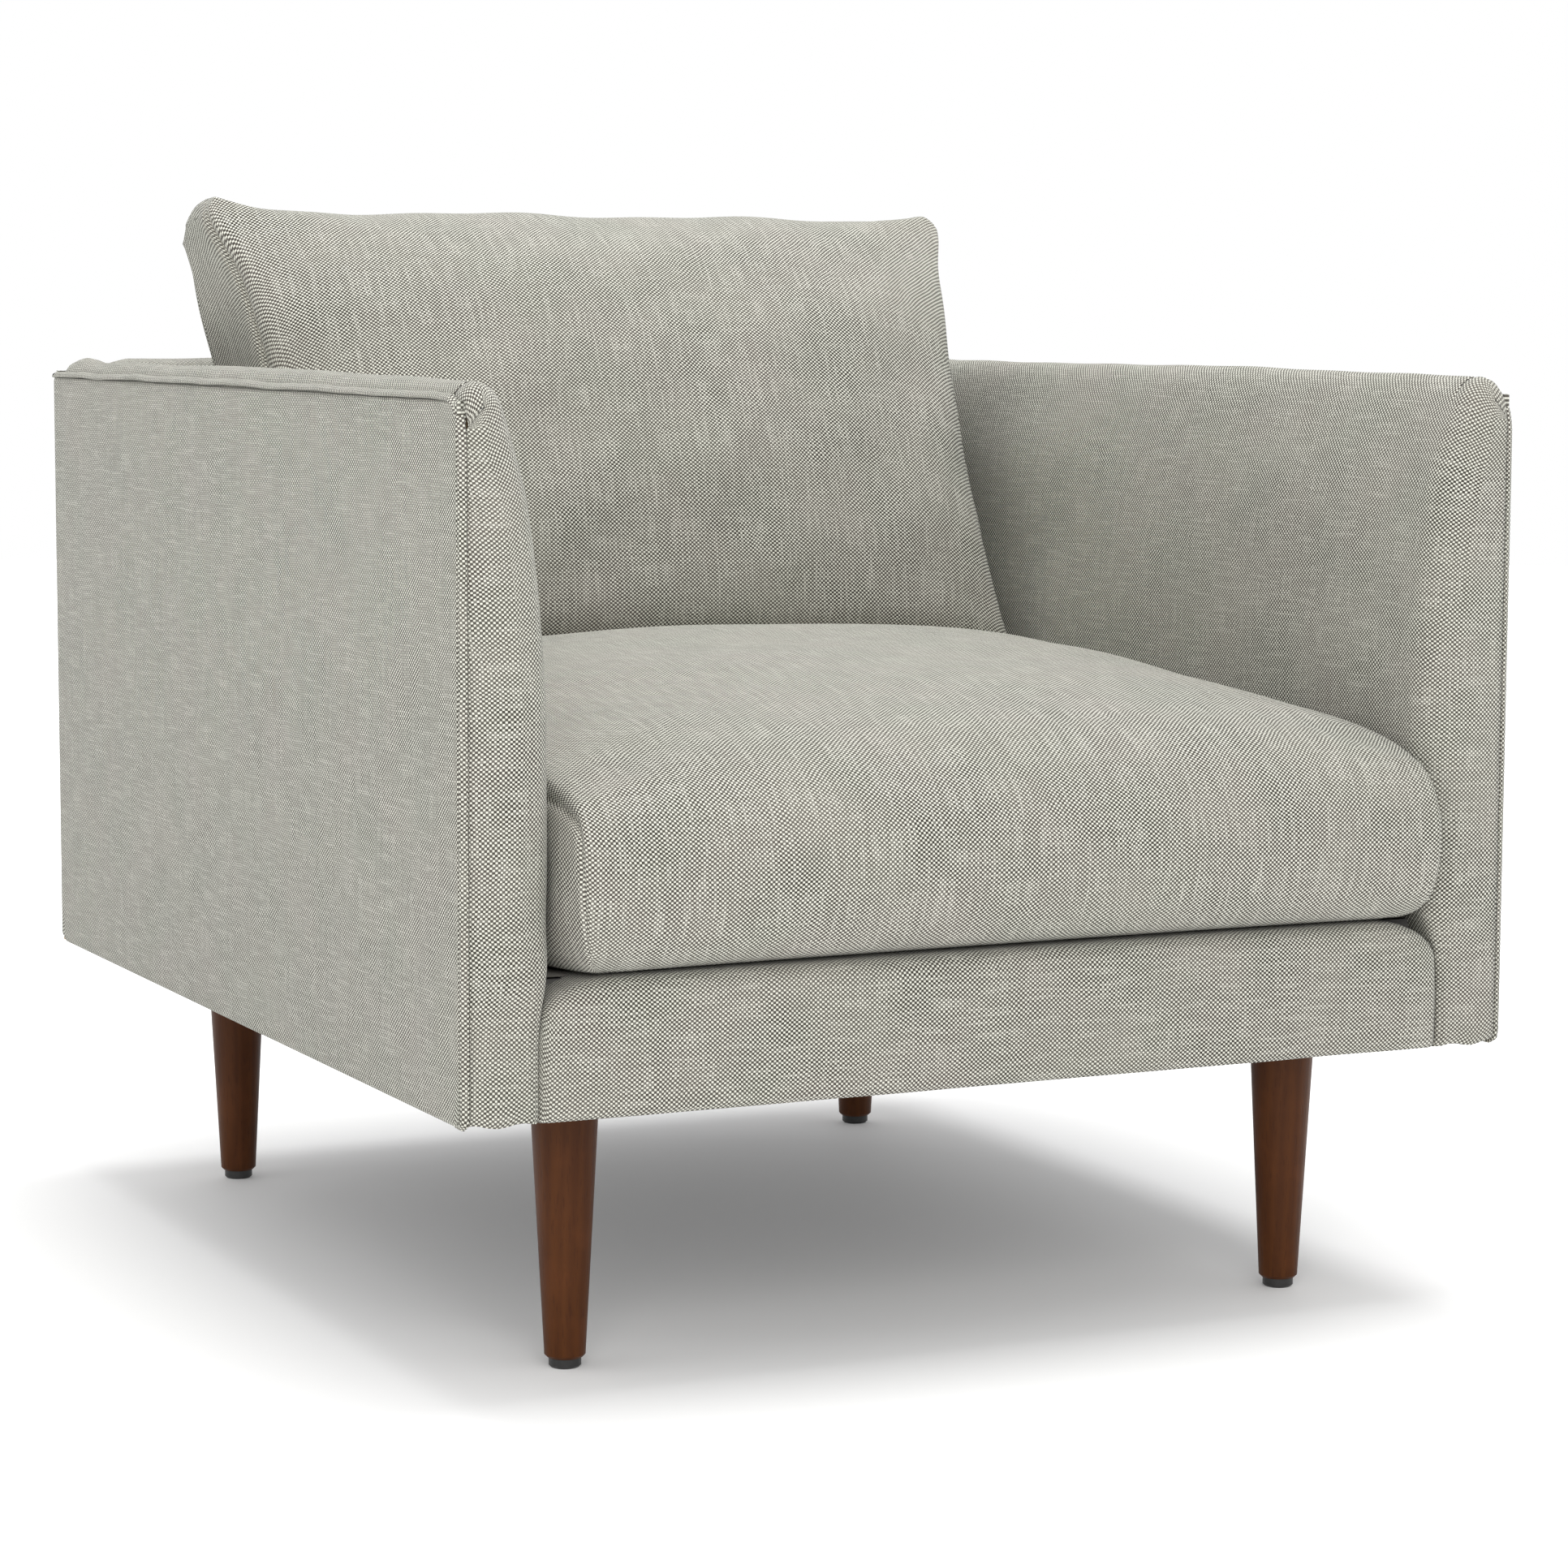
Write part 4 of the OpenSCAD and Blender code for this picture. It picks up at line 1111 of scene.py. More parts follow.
class CHAIR_OT_deck(bpy.types.Operator):
    """Cover the deck under the seat cushion, and close the underside with its dust cover"""

    bl_idname = "chair.deck"
    bl_label = "Cover Deck and Underside"

    def execute(self, context):
        low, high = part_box("deck_cloth")
        low_y = low.y - 0.008
        x = np.linspace(low.x, high.x, 84)
        y = np.linspace(low_y, INSIDE_BACK_Y + 0.010, 92)
        grid = np.stack(np.meshgrid(x, y), axis=-1)
        edge = rise(np.minimum(grid[..., 0] - low.x, high.x - grid[..., 0]), 0.02, 0.09)
        edge = edge * rise(grid[..., 1] - low_y, 0.01, 0.09)
        seam = np.exp(-(((grid[..., 1] - low_y - 0.085) / 0.0035) ** 2))
        z = DECK_Z - 0.0008 - 0.0030 * edge + 0.0007 * wave_noise(grid, 0.16, 81) * edge - 0.0012 * seam
        p = np.concatenate([grid, z[..., None]], axis=-1)
        lining = plain_cloth("Deck Cloth", (0.36, 0.34, 0.30), (0.13, 0.12, 0.105), 0.0009)
        cover = build_mesh("deck_sheet", [(p, cloth_places(p))], lining)
        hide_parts("deck_cloth")
        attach(cover, "chair")
        declare_cloth("deck_cloth", lambda size: (size.x, size.y))
        felt = rough_stuff("Felt", (0.15, 0.145, 0.14), (0.08, 0.078, 0.075), 800.0, 0.7)
        bottom = p[::-1].copy()
        bottom[..., 2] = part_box("deck_pad")[0].z
        sides = [
            np.stack([p[0], bottom[-1]]), np.stack([bottom[0], p[-1]]),
            np.stack([bottom[::-1, 0], p[:, 0]]), np.stack([p[:, -1], bottom[::-1, -1]]),
        ]  # fmt: skip
        grids = [(g, cloth_places(g)) for g in [p, bottom, *sides]]
        for g, _ in grids:
            g[..., 2] -= 0.0013 * (g[..., 2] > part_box("deck_pad")[0].z + 0.002)
        pad = build_mesh("deck_padding", grids, felt)
        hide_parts("deck_pad")
        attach(pad, "chair")
        self.burlap()
        self.dust_cover()
        return {"FINISHED"}

    def burlap(self):
        """The coarse cloth over the springs, sagging a little between them."""
        low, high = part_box("spring_insulator")
        x, y = np.linspace(low.x, high.x, 76), np.linspace(low.y, high.y, 82)
        grid = np.stack(np.meshgrid(x, y), axis=-1)
        edge = rise(np.minimum(grid[..., 0] - low.x, high.x - grid[..., 0]), 0.0, 0.05)
        middle = (low.z + high.z) / 2
        z = middle + (0.0003 * np.cos(grid[..., 1] * 170) + 0.0003 * wave_noise(grid, 0.06, 85)) * edge
        p = np.concatenate([grid, z[..., None]], axis=-1)
        jute = plain_cloth("Burlap", (0.42, 0.31, 0.18), (0.16, 0.11, 0.06), 0.0024)
        cover = build_mesh("burlap_sheet", [(p, cloth_places(p))], jute)
        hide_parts("spring_insulator")
        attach(cover, "chair")
        declare_cloth("spring_insulator", lambda size: (size.x, size.y))

    def dust_cover(self):
        low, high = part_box("dust_cover")
        x = np.linspace(low.x, high.x, 74)
        y = np.linspace(low.y, high.y, 84)
        grid = np.stack(np.meshgrid(x, y), axis=-1)[::-1]
        edge = np.minimum(
            np.minimum(grid[..., 0] - low.x, high.x - grid[..., 0]),
            np.minimum(grid[..., 1] - low.y, high.y - grid[..., 1]),
        )
        ripple = 0.0008 * wave_noise(grid, 0.07, 91) * rise(edge, 0.0, 0.05)
        z = BASE_Z + 0.0009 - 0.0024 * rise(edge, 0.03, 0.2) + ripple
        for leg in ("front_left", "front_right", "rear_left", "rear_right"):
            a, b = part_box(f"leg_{leg}")
            away = np.hypot(grid[..., 0] - (a.x + b.x) / 2, grid[..., 1] - (a.y + b.y) / 2)
            near = 1 - rise(away, 0.026, 0.06)
            z = z * (1 - near) + (BASE_Z + 0.0006) * near
        p = np.concatenate([grid, z[..., None]], axis=-1)
        black = plain_cloth("Dust Cloth", (0.045, 0.045, 0.047), (0.012, 0.012, 0.013), 0.0011)
        cover = build_mesh("dust_cloth", [(p, cloth_places(p))], black)
        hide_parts("dust_cover")
        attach(cover, "chair")
        declare_cloth("dust_cover", lambda size: (size.x, size.y))
        steel = metal("Staple Steel", (0.72, 0.72, 0.73), 0.3, 0.3)
        staples = []
        margin, first, pitch = 0.012, 0.03, 0.042
        for k in np.arange(low.x + first, high.x - first, pitch):
            staples += [((k, low.y + margin), (1, 0)), ((k, high.y - margin), (1, 0))]
        for k in np.arange(low.y + first, high.y - first, pitch):
            staples += [((low.x + margin, k), (0, 1)), ((high.x - margin, k), (0, 1))]
        half, wire, z0 = 0.0055, 0.0003, BASE_Z - 0.0002
        left = [(-half, 0.003), (-half, 0.0003), (-half * 0.85, 0.0)]
        across = left + [(-t, up) for t, up in reversed(left)]
        square = [(wire, wire), (-wire, wire), (-wire, -wire), (wire, -wire), (wire, wire)]
        grids = []
        for (cx, cy), (dx, dy) in staples:
            line = np.array([(cx + dx * t, cy + dy * t, z0 + up) for t, up in across])
            side, lean = np.array([-dy, dx, 0.0]), np.array([dx * 0.3, dy * 0.3, 1.0])
            ring = np.stack([line + side * a + lean * b for a, b in square], axis=1)
            grids.append((ring, cloth_places(ring)))
        made = build_mesh("dust_cover_staples", grids, steel, smooth=False)
        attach(made, "chair")


# ---- loose cushions ----


class Cushion:
    """A sewn box cushion: a front panel that turns over into the top, two side gussets, a rear and a bottom.

    a runs across it from -1 to 1, b from its front to its rear and c from its bottom to its top.
    Each panel lies between its line at the sides and its line in the middle.
    """

    def __init__(self, side, middle, coarse, fine, fullness, squareness, gusset):
        self.side, self.middle = side, middle
        self.fullness, self.squareness, self.gusset = fullness, squareness, gusset
        length = {k: runs(np.array(v, float))[-1] for k, v in side.items()}
        self.a = shares(0.66, coarse, fine) * 2 - 1
        self.b = shares(length["top"], coarse, fine)
        self.c = shares(length["front"], coarse, fine)
        self.grids = self.panels()

    def swell(self, a):
        """How full a panel is across its width, from 0 at a seam to 1 in its middle."""
        p = self.squareness
        return (1 - np.abs(a) ** p) ** (1 / p) * (1 - self.fullness * a**2)

    def panel(self, key, along):
        """One panel, from its line at the sides to its line in the middle."""
        edge = smooth_line(self.side[key], along)
        centre = smooth_line(self.middle[key], along)
        f = self.swell(self.a)[None, :, None]
        yz = edge[:, None, 1:] * (1 - f) + centre[:, None] * f
        x = edge[:, None, 0] * self.a[None]
        return np.concatenate([x[..., None], yz], axis=-1)

    def panels(self):
        """Every panel's points and their places on the cloth."""
        front, top = self.panel("front", self.c), self.panel("top", self.b)
        rear, bottom = self.panel("rear", self.c), self.panel("bottom", self.b)
        grids = {}
        wrap = np.concatenate([front, top[1:]], axis=0)
        grids["wrap"] = (wrap, cloth_places(wrap))
        grids["rear"] = (rear[:, ::-1], cloth_places(rear[:, ::-1]))
        grids["bottom"] = (bottom[:, ::-1], cloth_places(bottom[:, ::-1]))
        for k, sign in ((0, -1), (-1, 1)):
            f, t, r, m = front[:, k], top[:, k], rear[:, k], bottom[:, k]
            b, c = self.b[None, :, None], self.c[:, None, None]
            ruled = f[:, None] * (1 - b) + r[:, None] * b + m[None] * (1 - c) + t[None] * c
            corners = (
                f[0] * (1 - b) * (1 - c) + r[0] * b * (1 - c) + f[-1] * (1 - b) * c + r[-1] * b * c
            )
            face = ruled - corners
            full_b, full_c = np.sin(math.pi * self.b) ** 0.5, np.sin(math.pi * self.c) ** 0.6
            face[..., 0] += sign * (self.gusset * full_b[None] * full_c[:, None])
            if sign > 0:
                grids["gusset_right"] = (face, cloth_places(face))
            else:
                grids["gusset_left"] = (face[:, ::-1], cloth_places(face[:, ::-1]))
        return grids

    def seam_lines(self):
        """The sewn lines, as points of the panels' edges."""
        wrap, rear, bottom = (self.grids[k][0] for k in ("wrap", "rear", "bottom"))
        lines = [wrap[:, 0], wrap[:, -1], wrap[0], wrap[-1]]
        return lines + [rear[:, 0], rear[:, -1], bottom[:, 0], bottom[:, -1], bottom[-1]]


def make_current(made):
    """Makes one object the active and only chosen one."""
    bpy.context.view_layer.objects.active = made
    for o in bpy.context.view_layer.objects:
        o.select_set(o == made)


def apply_all(made):
    """The mesh with its modifiers applied."""
    make_current(made)
    for modifier in list(made.modifiers):
        bpy.ops.object.modifier_apply(modifier=modifier.name)


def inflate(made, held, pressure, most):
    """Swells the cloth by the pressure of its filling, and lets no point move further than most."""
    start = mesh_points(made.data)
    group = made.vertex_groups.new(name="held")
    for k, weight in enumerate(held):
        if weight > 0.01:
            group.add([k], float(weight), "REPLACE")
    cloth = made.modifiers.new("filling", "CLOTH")
    s = cloth.settings
    s.quality, s.mass = 6, 0.25
    s.tension_stiffness = s.compression_stiffness = 18
    s.shear_stiffness, s.bending_stiffness = 6, 0.6
    s.use_pressure, s.uniform_pressure_force = True, pressure
    s.vertex_group_mass = "held"
    s.effector_weights.gravity = 0
    cloth.collision_settings.use_collision = False
    cloth.point_cache.frame_start, cloth.point_cache.frame_end = 1, 20
    scene = bpy.context.scene
    for f in range(1, 21):
        scene.frame_set(f)
    apply_all(made)
    scene.frame_set(1)
    moved = mesh_points(made.data) - start
    far = np.linalg.norm(moved, axis=1)
    share = np.where(far > 1e-9, most * np.tanh(far / most) / np.maximum(far, 1e-9), 1.0)
    set_points(made.data, start + moved * share[:, None])
    made.vertex_groups.clear()


def surface_tree(made):
    """Finds the nearest places on a mesh."""
    faces = [tuple(face.vertices) for face in made.data.polygons]
    return BVHTree.FromPolygons([v.co for v in made.data.vertices], faces)


def on_surface(tree, points):
    """The nearest places on a surface, and its normals there."""
    found = [tree.find_nearest(Vector(point))[:2] for point in points]
    return np.array([f[0] for f in found]), np.array([f[1] for f in found])


def soften(made, spots, radius, times=6):
    """Rounds off the points of a mesh near some spots."""
    p = mesh_points(made.data)
    mean = neighbours(made.data)
    share = np.zeros(len(p))
    for spot in spots:
        share = np.maximum(share, 1 - rise(np.linalg.norm(p - np.array(spot), axis=1), 0.25 * radius, radius))
    for _ in range(times):
        p += (mean(p) - p) * 0.6 * share[:, None]
    set_points(made.data, p)


def subdivide(made):
    """Divides a mesh's faces once and smooths it."""
    modifier = made.modifiers.new("smooth", "SUBSURF")
    modifier.levels = modifier.render_levels = 1
    apply_all(made)


def away_from_line(p, line):
    """How far each point is from a line of points, and the share of the line where it is nearest."""
    best, at = np.full(len(p), 9.0), np.zeros(len(p))
    run = runs(line)
    for k in range(len(line) - 1):
        a, d = line[k], line[k + 1] - line[k]
        t = np.clip((p - a) @ d / max(d @ d, 1e-12), 0, 1)
        far = np.linalg.norm(p - a - t[:, None] * d, axis=1)
        closer = far < best
        best[closer] = far[closer]
        at[closer] = (run[k] + t[closer] * (run[k + 1] - run[k])) / run[-1]
    return best, at


def valley(made, line, width, depth, fade=True):
    """Presses a valley into the surface along a line. A crease fades at its ends, and a seam doesn't."""
    p, n = mesh_points(made.data), mesh_normals(made.data)
    low, high = line.min(0) - 4 * width, line.max(0) + 4 * width
    near = np.where(((p > low) & (p < high)).all(1))[0]
    far, at = away_from_line(p[near], line)
    press = depth * np.exp(-((far / width) ** 2))
    if fade:
        press = press * np.sin(math.pi * np.clip(at, 0.02, 0.98)) ** 0.7
    p[near] -= n[near] * press[:, None]
    set_points(made.data, p)


def pinch(made, start, end, width, depth):
    """Presses a straight crease from one point to another."""
    a, b = np.array(start), np.array(end)
    valley(made, a + (b - a) * np.linspace(0, 1, 6)[:, None], width, depth)


class CHAIR_OT_seat_cushion(bpy.types.Operator):
    """Make the loose seat cushion, with its waterfall front and its side gussets"""

    bl_idname = "chair.seat_cushion"
    bl_label = "Make Seat Cushion"

    def execute(self, context):
        sizes = context.scene.chair_sizes
        z0 = SEAT_BOX[0].z + 0.0010
        rear = SEAT_BOX[1].y - 0.0052
        side = {
            "front": [
                (0.3120, -0.4540, z0), (0.3225, -0.4660, 0.2935), (0.3300, -0.4740, 0.3080),
                (0.3335, -0.4770, 0.3320), (0.3345, -0.4770, 0.3580), (0.3340, -0.4715, 0.3790),
                (0.3325, -0.4580, 0.3920),
            ],
            "top": [
                (0.3325, -0.4580, 0.3920), (0.3325, -0.4300, 0.4000), (0.3325, -0.3900, 0.4040),
                (0.3325, -0.3000, 0.4050), (0.3325, -0.1000, 0.4075), (0.3325, 0.1000, 0.4050),
                (0.3320, 0.2500, 0.3970), (0.3290, rear, 0.3860),
            ],
            "rear": [
                (0.3235, rear - 0.006, z0), (0.3265, rear - 0.001, 0.300), (0.3275, rear, 0.345),
                (0.3285, rear, 0.375), (0.3290, rear, 0.386),
            ],
            "bottom": [
                (0.3120, -0.4540, z0), (0.3240, -0.4000, z0), (0.3290, -0.3000, z0), (0.3290, 0.0, z0),
                (0.3270, 0.2500, z0), (0.3235, rear - 0.006, z0),
            ],
        }  # fmt: skip
        middle = {
            "front": [
                (-0.4400, z0), (-0.4640, 0.2975), (-0.4765, 0.3250), (-0.4800, 0.3550), (-0.4735, 0.3900),
                (-0.4560, 0.4160),
            ],
            "top": [
                (-0.4560, 0.4160), (-0.4200, 0.4345), (-0.3500, 0.4500), (-0.2300, 0.4640), (-0.1000, 0.4725),
                (0.0300, 0.4740), (0.1150, 0.4560), (0.2100, 0.4330), (0.3000, 0.4085), (rear, 0.3920),
            ],
            "rear": [(rear - 0.006, z0), (rear - 0.001, 0.30), (rear, 0.345), (rear, 0.375), (rear, 0.392)],
            "bottom": [(-0.4400, z0), (-0.3000, z0), (0.0, z0), (0.2500, z0), (rear - 0.006, z0)],
        }  # fmt: skip
        coarse = 0.0125
        shape = Cushion(side, middle, coarse, 0.0026, 0.25, 4.2, 0.004)
        cloth = upholstery(0.42, 0.22)
        cover = build_mesh("seat_cushion_cloth", list(shape.grids.values()), cloth)
        p = mesh_points(cover.data)
        held = np.maximum(1 - rise(p[:, 2], z0 + 0.004, z0 + 0.05), rise(p[:, 1], 0.08, 0.20))
        held = np.maximum(held, rise(np.abs(p[:, 0]), 0.318, 0.326) * 0.9)
        inflate(cover, held, sizes.pressure, sizes.swell * 0.5)
        subdivide(cover)
        for line in shape.seam_lines():
            valley(cover, line, 0.0026, sizes.seam_depth, fade=False)
        self.creases(cover)
        soften(cover, [(x, -0.454, z0) for x in (-0.312, 0.312)], 0.022, 14)
        soften(cover, [(x, rear, 0.386) for x in (-0.329, 0.329)], 0.020)
        p = mesh_points(cover.data)
        soft = wave_noise(p, 0.15, 101) * 0.0013 * rise(p[:, 2], 0.30, 0.36)
        p += mesh_normals(cover.data) * soft[:, None]
        half = SEAT_BOX[1].x - 0.0004 + 0.006 * (1 - rise(p[:, 1], -0.475, -0.452))
        forward = 1 - rise(p[:, 1], -0.470, -0.390)
        p[:, 0] = np.clip(p[:, 0] + 0.0065 * forward, -half, half)
        p[:, 2] = np.maximum(p[:, 2], SEAT_BOX[0].z + 0.0004)
        set_points(cover.data, p)
        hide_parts("seat_cushion_cover")
        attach(cover, "seat_cushion")
        core = padding_under(cover, "seat_cushion_filling", CUSHION_FILLING, foam(), "seat_cushion_core")
        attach(core, "seat_cushion")
        return {"FINISHED"}

    def creases(self, cover):
        """Pinches that run from the front corners of the top seam."""
        for side in (-1, 1):
            x = side * 0.327
            for dx, dy, dz, depth in (
                (0.060, 0.004, -0.022, 0.0016),
                (0.055, 0.035, 0.022, 0.0016),
                (0.022, -0.008, -0.060, 0.0014),
                (0.006, 0.075, 0.004, 0.0012),
            ):
                start = np.array([x, -0.462, 0.388])
                pinch(cover, start, start + np.array([-side * dx, dy, dz]), 0.0065, depth)


class CHAIR_OT_back_cushion(bpy.types.Operator):
    """Make the loose back cushion, with its pointed corners and double-stitched side gussets"""

    bl_idname = "chair.back_cushion"
    bl_label = "Make Back Cushion"

    def execute(self, context):
        sizes = context.scene.chair_sizes
        side = {
            "front": [
                (0.3140, 0.1180, 0.4080), (0.3150, 0.1170, 0.4300), (0.3060, 0.1320, 0.4800),
                (0.3000, 0.1500, 0.5380), (0.2995, 0.1800, 0.6050), (0.3040, 0.2120, 0.6800),
                (0.3130, 0.2500, 0.7480), (0.3270, 0.2770, 0.7860), (0.3225, 0.2865, 0.8060),
            ],
            "top": [
                (0.3225, 0.2865, 0.8060), (0.3225, 0.3120, 0.8010), (0.3245, 0.3380, 0.7890),
                (0.3270, 0.3585, 0.7700),
            ],
            "rear": [
                (0.3120, 0.2850, 0.4050), (0.3100, 0.2920, 0.4400), (0.3070, 0.3000, 0.5200),
                (0.3080, 0.3050, 0.6000),
                (0.3170, 0.3150, 0.6900), (0.3230, 0.3380, 0.7420), (0.3270, 0.3585, 0.7700),
            ],
            "bottom": [
                (0.3140, 0.1180, 0.4080), (0.3130, 0.1600, 0.4080), (0.3120, 0.2200, 0.4060),
                (0.3120, 0.2850, 0.4050),
            ],
        }  # fmt: skip
        middle = {
            "front": [
                (0.1220, 0.4545), (0.1060, 0.4800), (0.1110, 0.5200), (0.1280, 0.5800), (0.1580, 0.6550),
                (0.1960, 0.7250), (0.2320, 0.7680), (0.2720, 0.7940),
            ],
            "top": [(0.2720, 0.7940), (0.3000, 0.7985), (0.3280, 0.7945), (0.3520, 0.7740)],
            "rear": [
                (0.2850, 0.4160), (0.3180, 0.4450), (0.3450, 0.5200), (0.3540, 0.6000), (0.3560, 0.6900),
                (0.3560, 0.7450), (0.3520, 0.7740),
            ],
            "bottom": [(0.1220, 0.4545), (0.1600, 0.4515), (0.2200, 0.4350), (0.2850, 0.4160)],
        }  # fmt: skip
        coarse = 0.0125
        shape = Cushion(side, middle, coarse, 0.0026, 0.10, 3.0, 0.006)
        cloth = upholstery(0.42, 0.26)
        cover = build_mesh("back_cushion_cloth", list(shape.grids.values()), cloth)
        p = mesh_points(cover.data)
        held = np.maximum(1 - rise(p[:, 2], 0.46, 0.49), rise(p[:, 1], 0.335, 0.352))
        ear = rise(np.abs(p[:, 0]), 0.300, 0.318) * 0.9
        inflate(cover, np.maximum(held, ear), sizes.pressure, sizes.swell * 0.6)
        subdivide(cover)
        for line in shape.seam_lines():
            valley(cover, line, 0.0030, sizes.seam_depth, fade=False)
        self.creases(cover)
        soften(cover, [(x, 0.3585, 0.770) for x in (-0.327, 0.327)], 0.022, 14)
        soften(cover, [(x, 0.118, 0.408) for x in (-0.314, 0.314)], 0.016, 8)
        self.round_ears(cover)
        p = mesh_points(cover.data)
        soft = wave_noise(p, 0.13, 131) * 0.0021 * rise(p[:, 2], 0.47, 0.52)
        p += mesh_normals(cover.data) * soft[:, None]
        p[:, 1] = np.minimum(p[:, 1], INSIDE_BACK_Y - 0.0016)
        set_points(cover.data, p)
        self.topstitch(cover, shape)
        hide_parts("back_cushion_cover")
        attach(cover, "back_cushion")
        room = ((-0.3130, 0.0, 0.35), (0.3130, 0.3480, 0.7960))
        core = padding_under(
            cover, "back_cushion_filling", CUSHION_FILLING, foam(), "back_cushion_core", inside=room
        )
        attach(core, "back_cushion")
        self.clear_zip(core)
        return {"FINISHED"}

    def clear_zip(self, core):
        """Hollows the filling's foot where the zip's slider runs."""
        low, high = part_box("back_zip")
        q = mesh_points(core.data)
        across = np.exp(-(((q[:, 1] - (low.y + high.y) / 2) / 0.018) ** 4))
        q[:, 2] += 0.006 * across * (1 - rise(q[:, 2], high.z + 0.02, high.z + 0.05))
        set_points(core.data, q)

    def round_ears(self, cover):
        """Rounds the top corners, and lets the left one stand a little prouder."""
        p = mesh_points(cover.data)
        lift = rise(-p[:, 0], 0.270, 0.325) * rise(p[:, 2], 0.745, 0.800)
        p[:, 0] -= 0.004 * lift
        p[:, 2] += 0.006 * lift
        radius = 0.019
        for side, right, top in ((-1, 0.3290, 0.8110), (1, 0.3250, 0.8030)):
            x, z = side * p[:, 0] - (right - radius), p[:, 2] - (top - radius)
            far = np.hypot(x, z)
            out = (x > 0) & (z > 0) & (far > radius)
            p[out, 0] = side * (right - radius + x[out] * radius / far[out])
            p[out, 2] = top - radius + z[out] * radius / far[out]
        set_points(cover.data, p)

    def topstitch(self, cover, shape):
        """Two rows of stitches, one on each side of the seam between the front panel and each gusset."""
        tree = surface_tree(cover)
        thread = sewing_thread()
        wrap = shape.grids["wrap"][0]
        rows = []
        for column, inward in ((0, 1.0), (-1, -1.0)):
            line = smooth_line(wrap[:, column][::4], np.linspace(0.03, 0.93, 220))
            for offset in ((inward * 0.0042, 0.0, 0.0), (0.0, 0.0045, -0.0012)):
                rows.append(on_surface(tree, line + np.array(offset)))
        stitches("back_cushion_stitches", rows, thread, "back_cushion")

    def creases(self, cover):
        """Pulls below the top corners and tucks at the foot."""
        for side in (-1, 1):
            for start, end, width, depth in (
                ((0.312, 0.272, 0.785), (0.255, 0.240, 0.742), 0.010, 0.0028),
                ((0.306, 0.262, 0.768), (0.272, 0.215, 0.690), 0.009, 0.0022),
                ((0.316, 0.300, 0.796), (0.235, 0.296, 0.798), 0.009, 0.0022),
                ((0.312, 0.130, 0.450), (0.262, 0.108, 0.500), 0.010, 0.0030),
                ((0.306, 0.142, 0.500), (0.288, 0.150, 0.560), 0.010, 0.0020),
            ):
                mirror = np.array([side, 1, 1])
                pinch(cover, mirror * start, mirror * end, width, depth)


# ---- zips ----


def zip_strip(name, body, place, half, node):
    """A zip along X: two woven tapes, their coil of teeth and the cloth lips over it.

    place turns its own (along, across, out) into the chair's X, Y and Z.
    """
    tape = plain_cloth("Zip Tape", (0.34, 0.33, 0.30), (0.12, 0.115, 0.10), 0.0006)
    grids = []
    along = np.linspace(-half, half, 200)
    for side in (-1, 1):
        across = np.array([0.0004, 0.0024, 0.0066]) * side
        grid = np.stack(np.meshgrid(along, across), axis=-1)
        p = place(np.concatenate([grid, np.full((*grid.shape[:2], 1), 0.0003)], axis=-1))
        grids.append((p if side > 0 else p[::-1], cloth_places(p)))
    tapes = build_mesh(name + "_tape", grids, tape)
    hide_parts(node)
    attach(tapes, body)
    teeth = rough_stuff("Zip Coil", (0.20, 0.19, 0.17), (0.10, 0.095, 0.085), 500.0, 0.2, rough=0.5)
    pitch, wire = 0.0026, 0.00042
    turns = int(2 * half / pitch)
    bow = np.array([(-0.0020, 0.0002), (-0.0016, 0.0009), (0.0, 0.0012), (0.0016, 0.0009), (0.0020, 0.0002)])
    grids = []
    angle = np.linspace(0, 2 * math.pi, 6)
    for k in range(turns):
        x = -half + (k + 0.5) * 2 * half / turns
        line = np.stack([np.full(5, x) + np.linspace(-0.0004, 0.0004, 5), bow[:, 0], bow[:, 1]], axis=-1)
        ring = line[:, None] + wire * np.stack([np.cos(angle), 0 * angle, np.sin(angle)], axis=-1)[None]
        grids.append((place(ring), np.zeros((*ring.shape[:2], 2))))
    coil = build_mesh(name + "_coil", grids, teeth)
    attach(coil, body)
    lips = []
    for side in (-1, 1):
        run = np.linspace(-half - 0.006, half + 0.006, 120)
        line = np.stack([run, np.full(120, 0.0082 * side), np.full(120, 0.0016)], axis=-1)
        line[:, 1] += 0.0003 * np.sin(line[:, 0] * 70 + side)
        far = place(line)
        out = place(line + np.array([0, 0, 0.01])) - far
        lips.append(sweep(f"{name}_lip{side + 2}", far, oval(0.0075, 0.0030), out, upholstery(0.3, 0.3)))
    lip = joined(name + "_lips", lips)
    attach(lip, body)


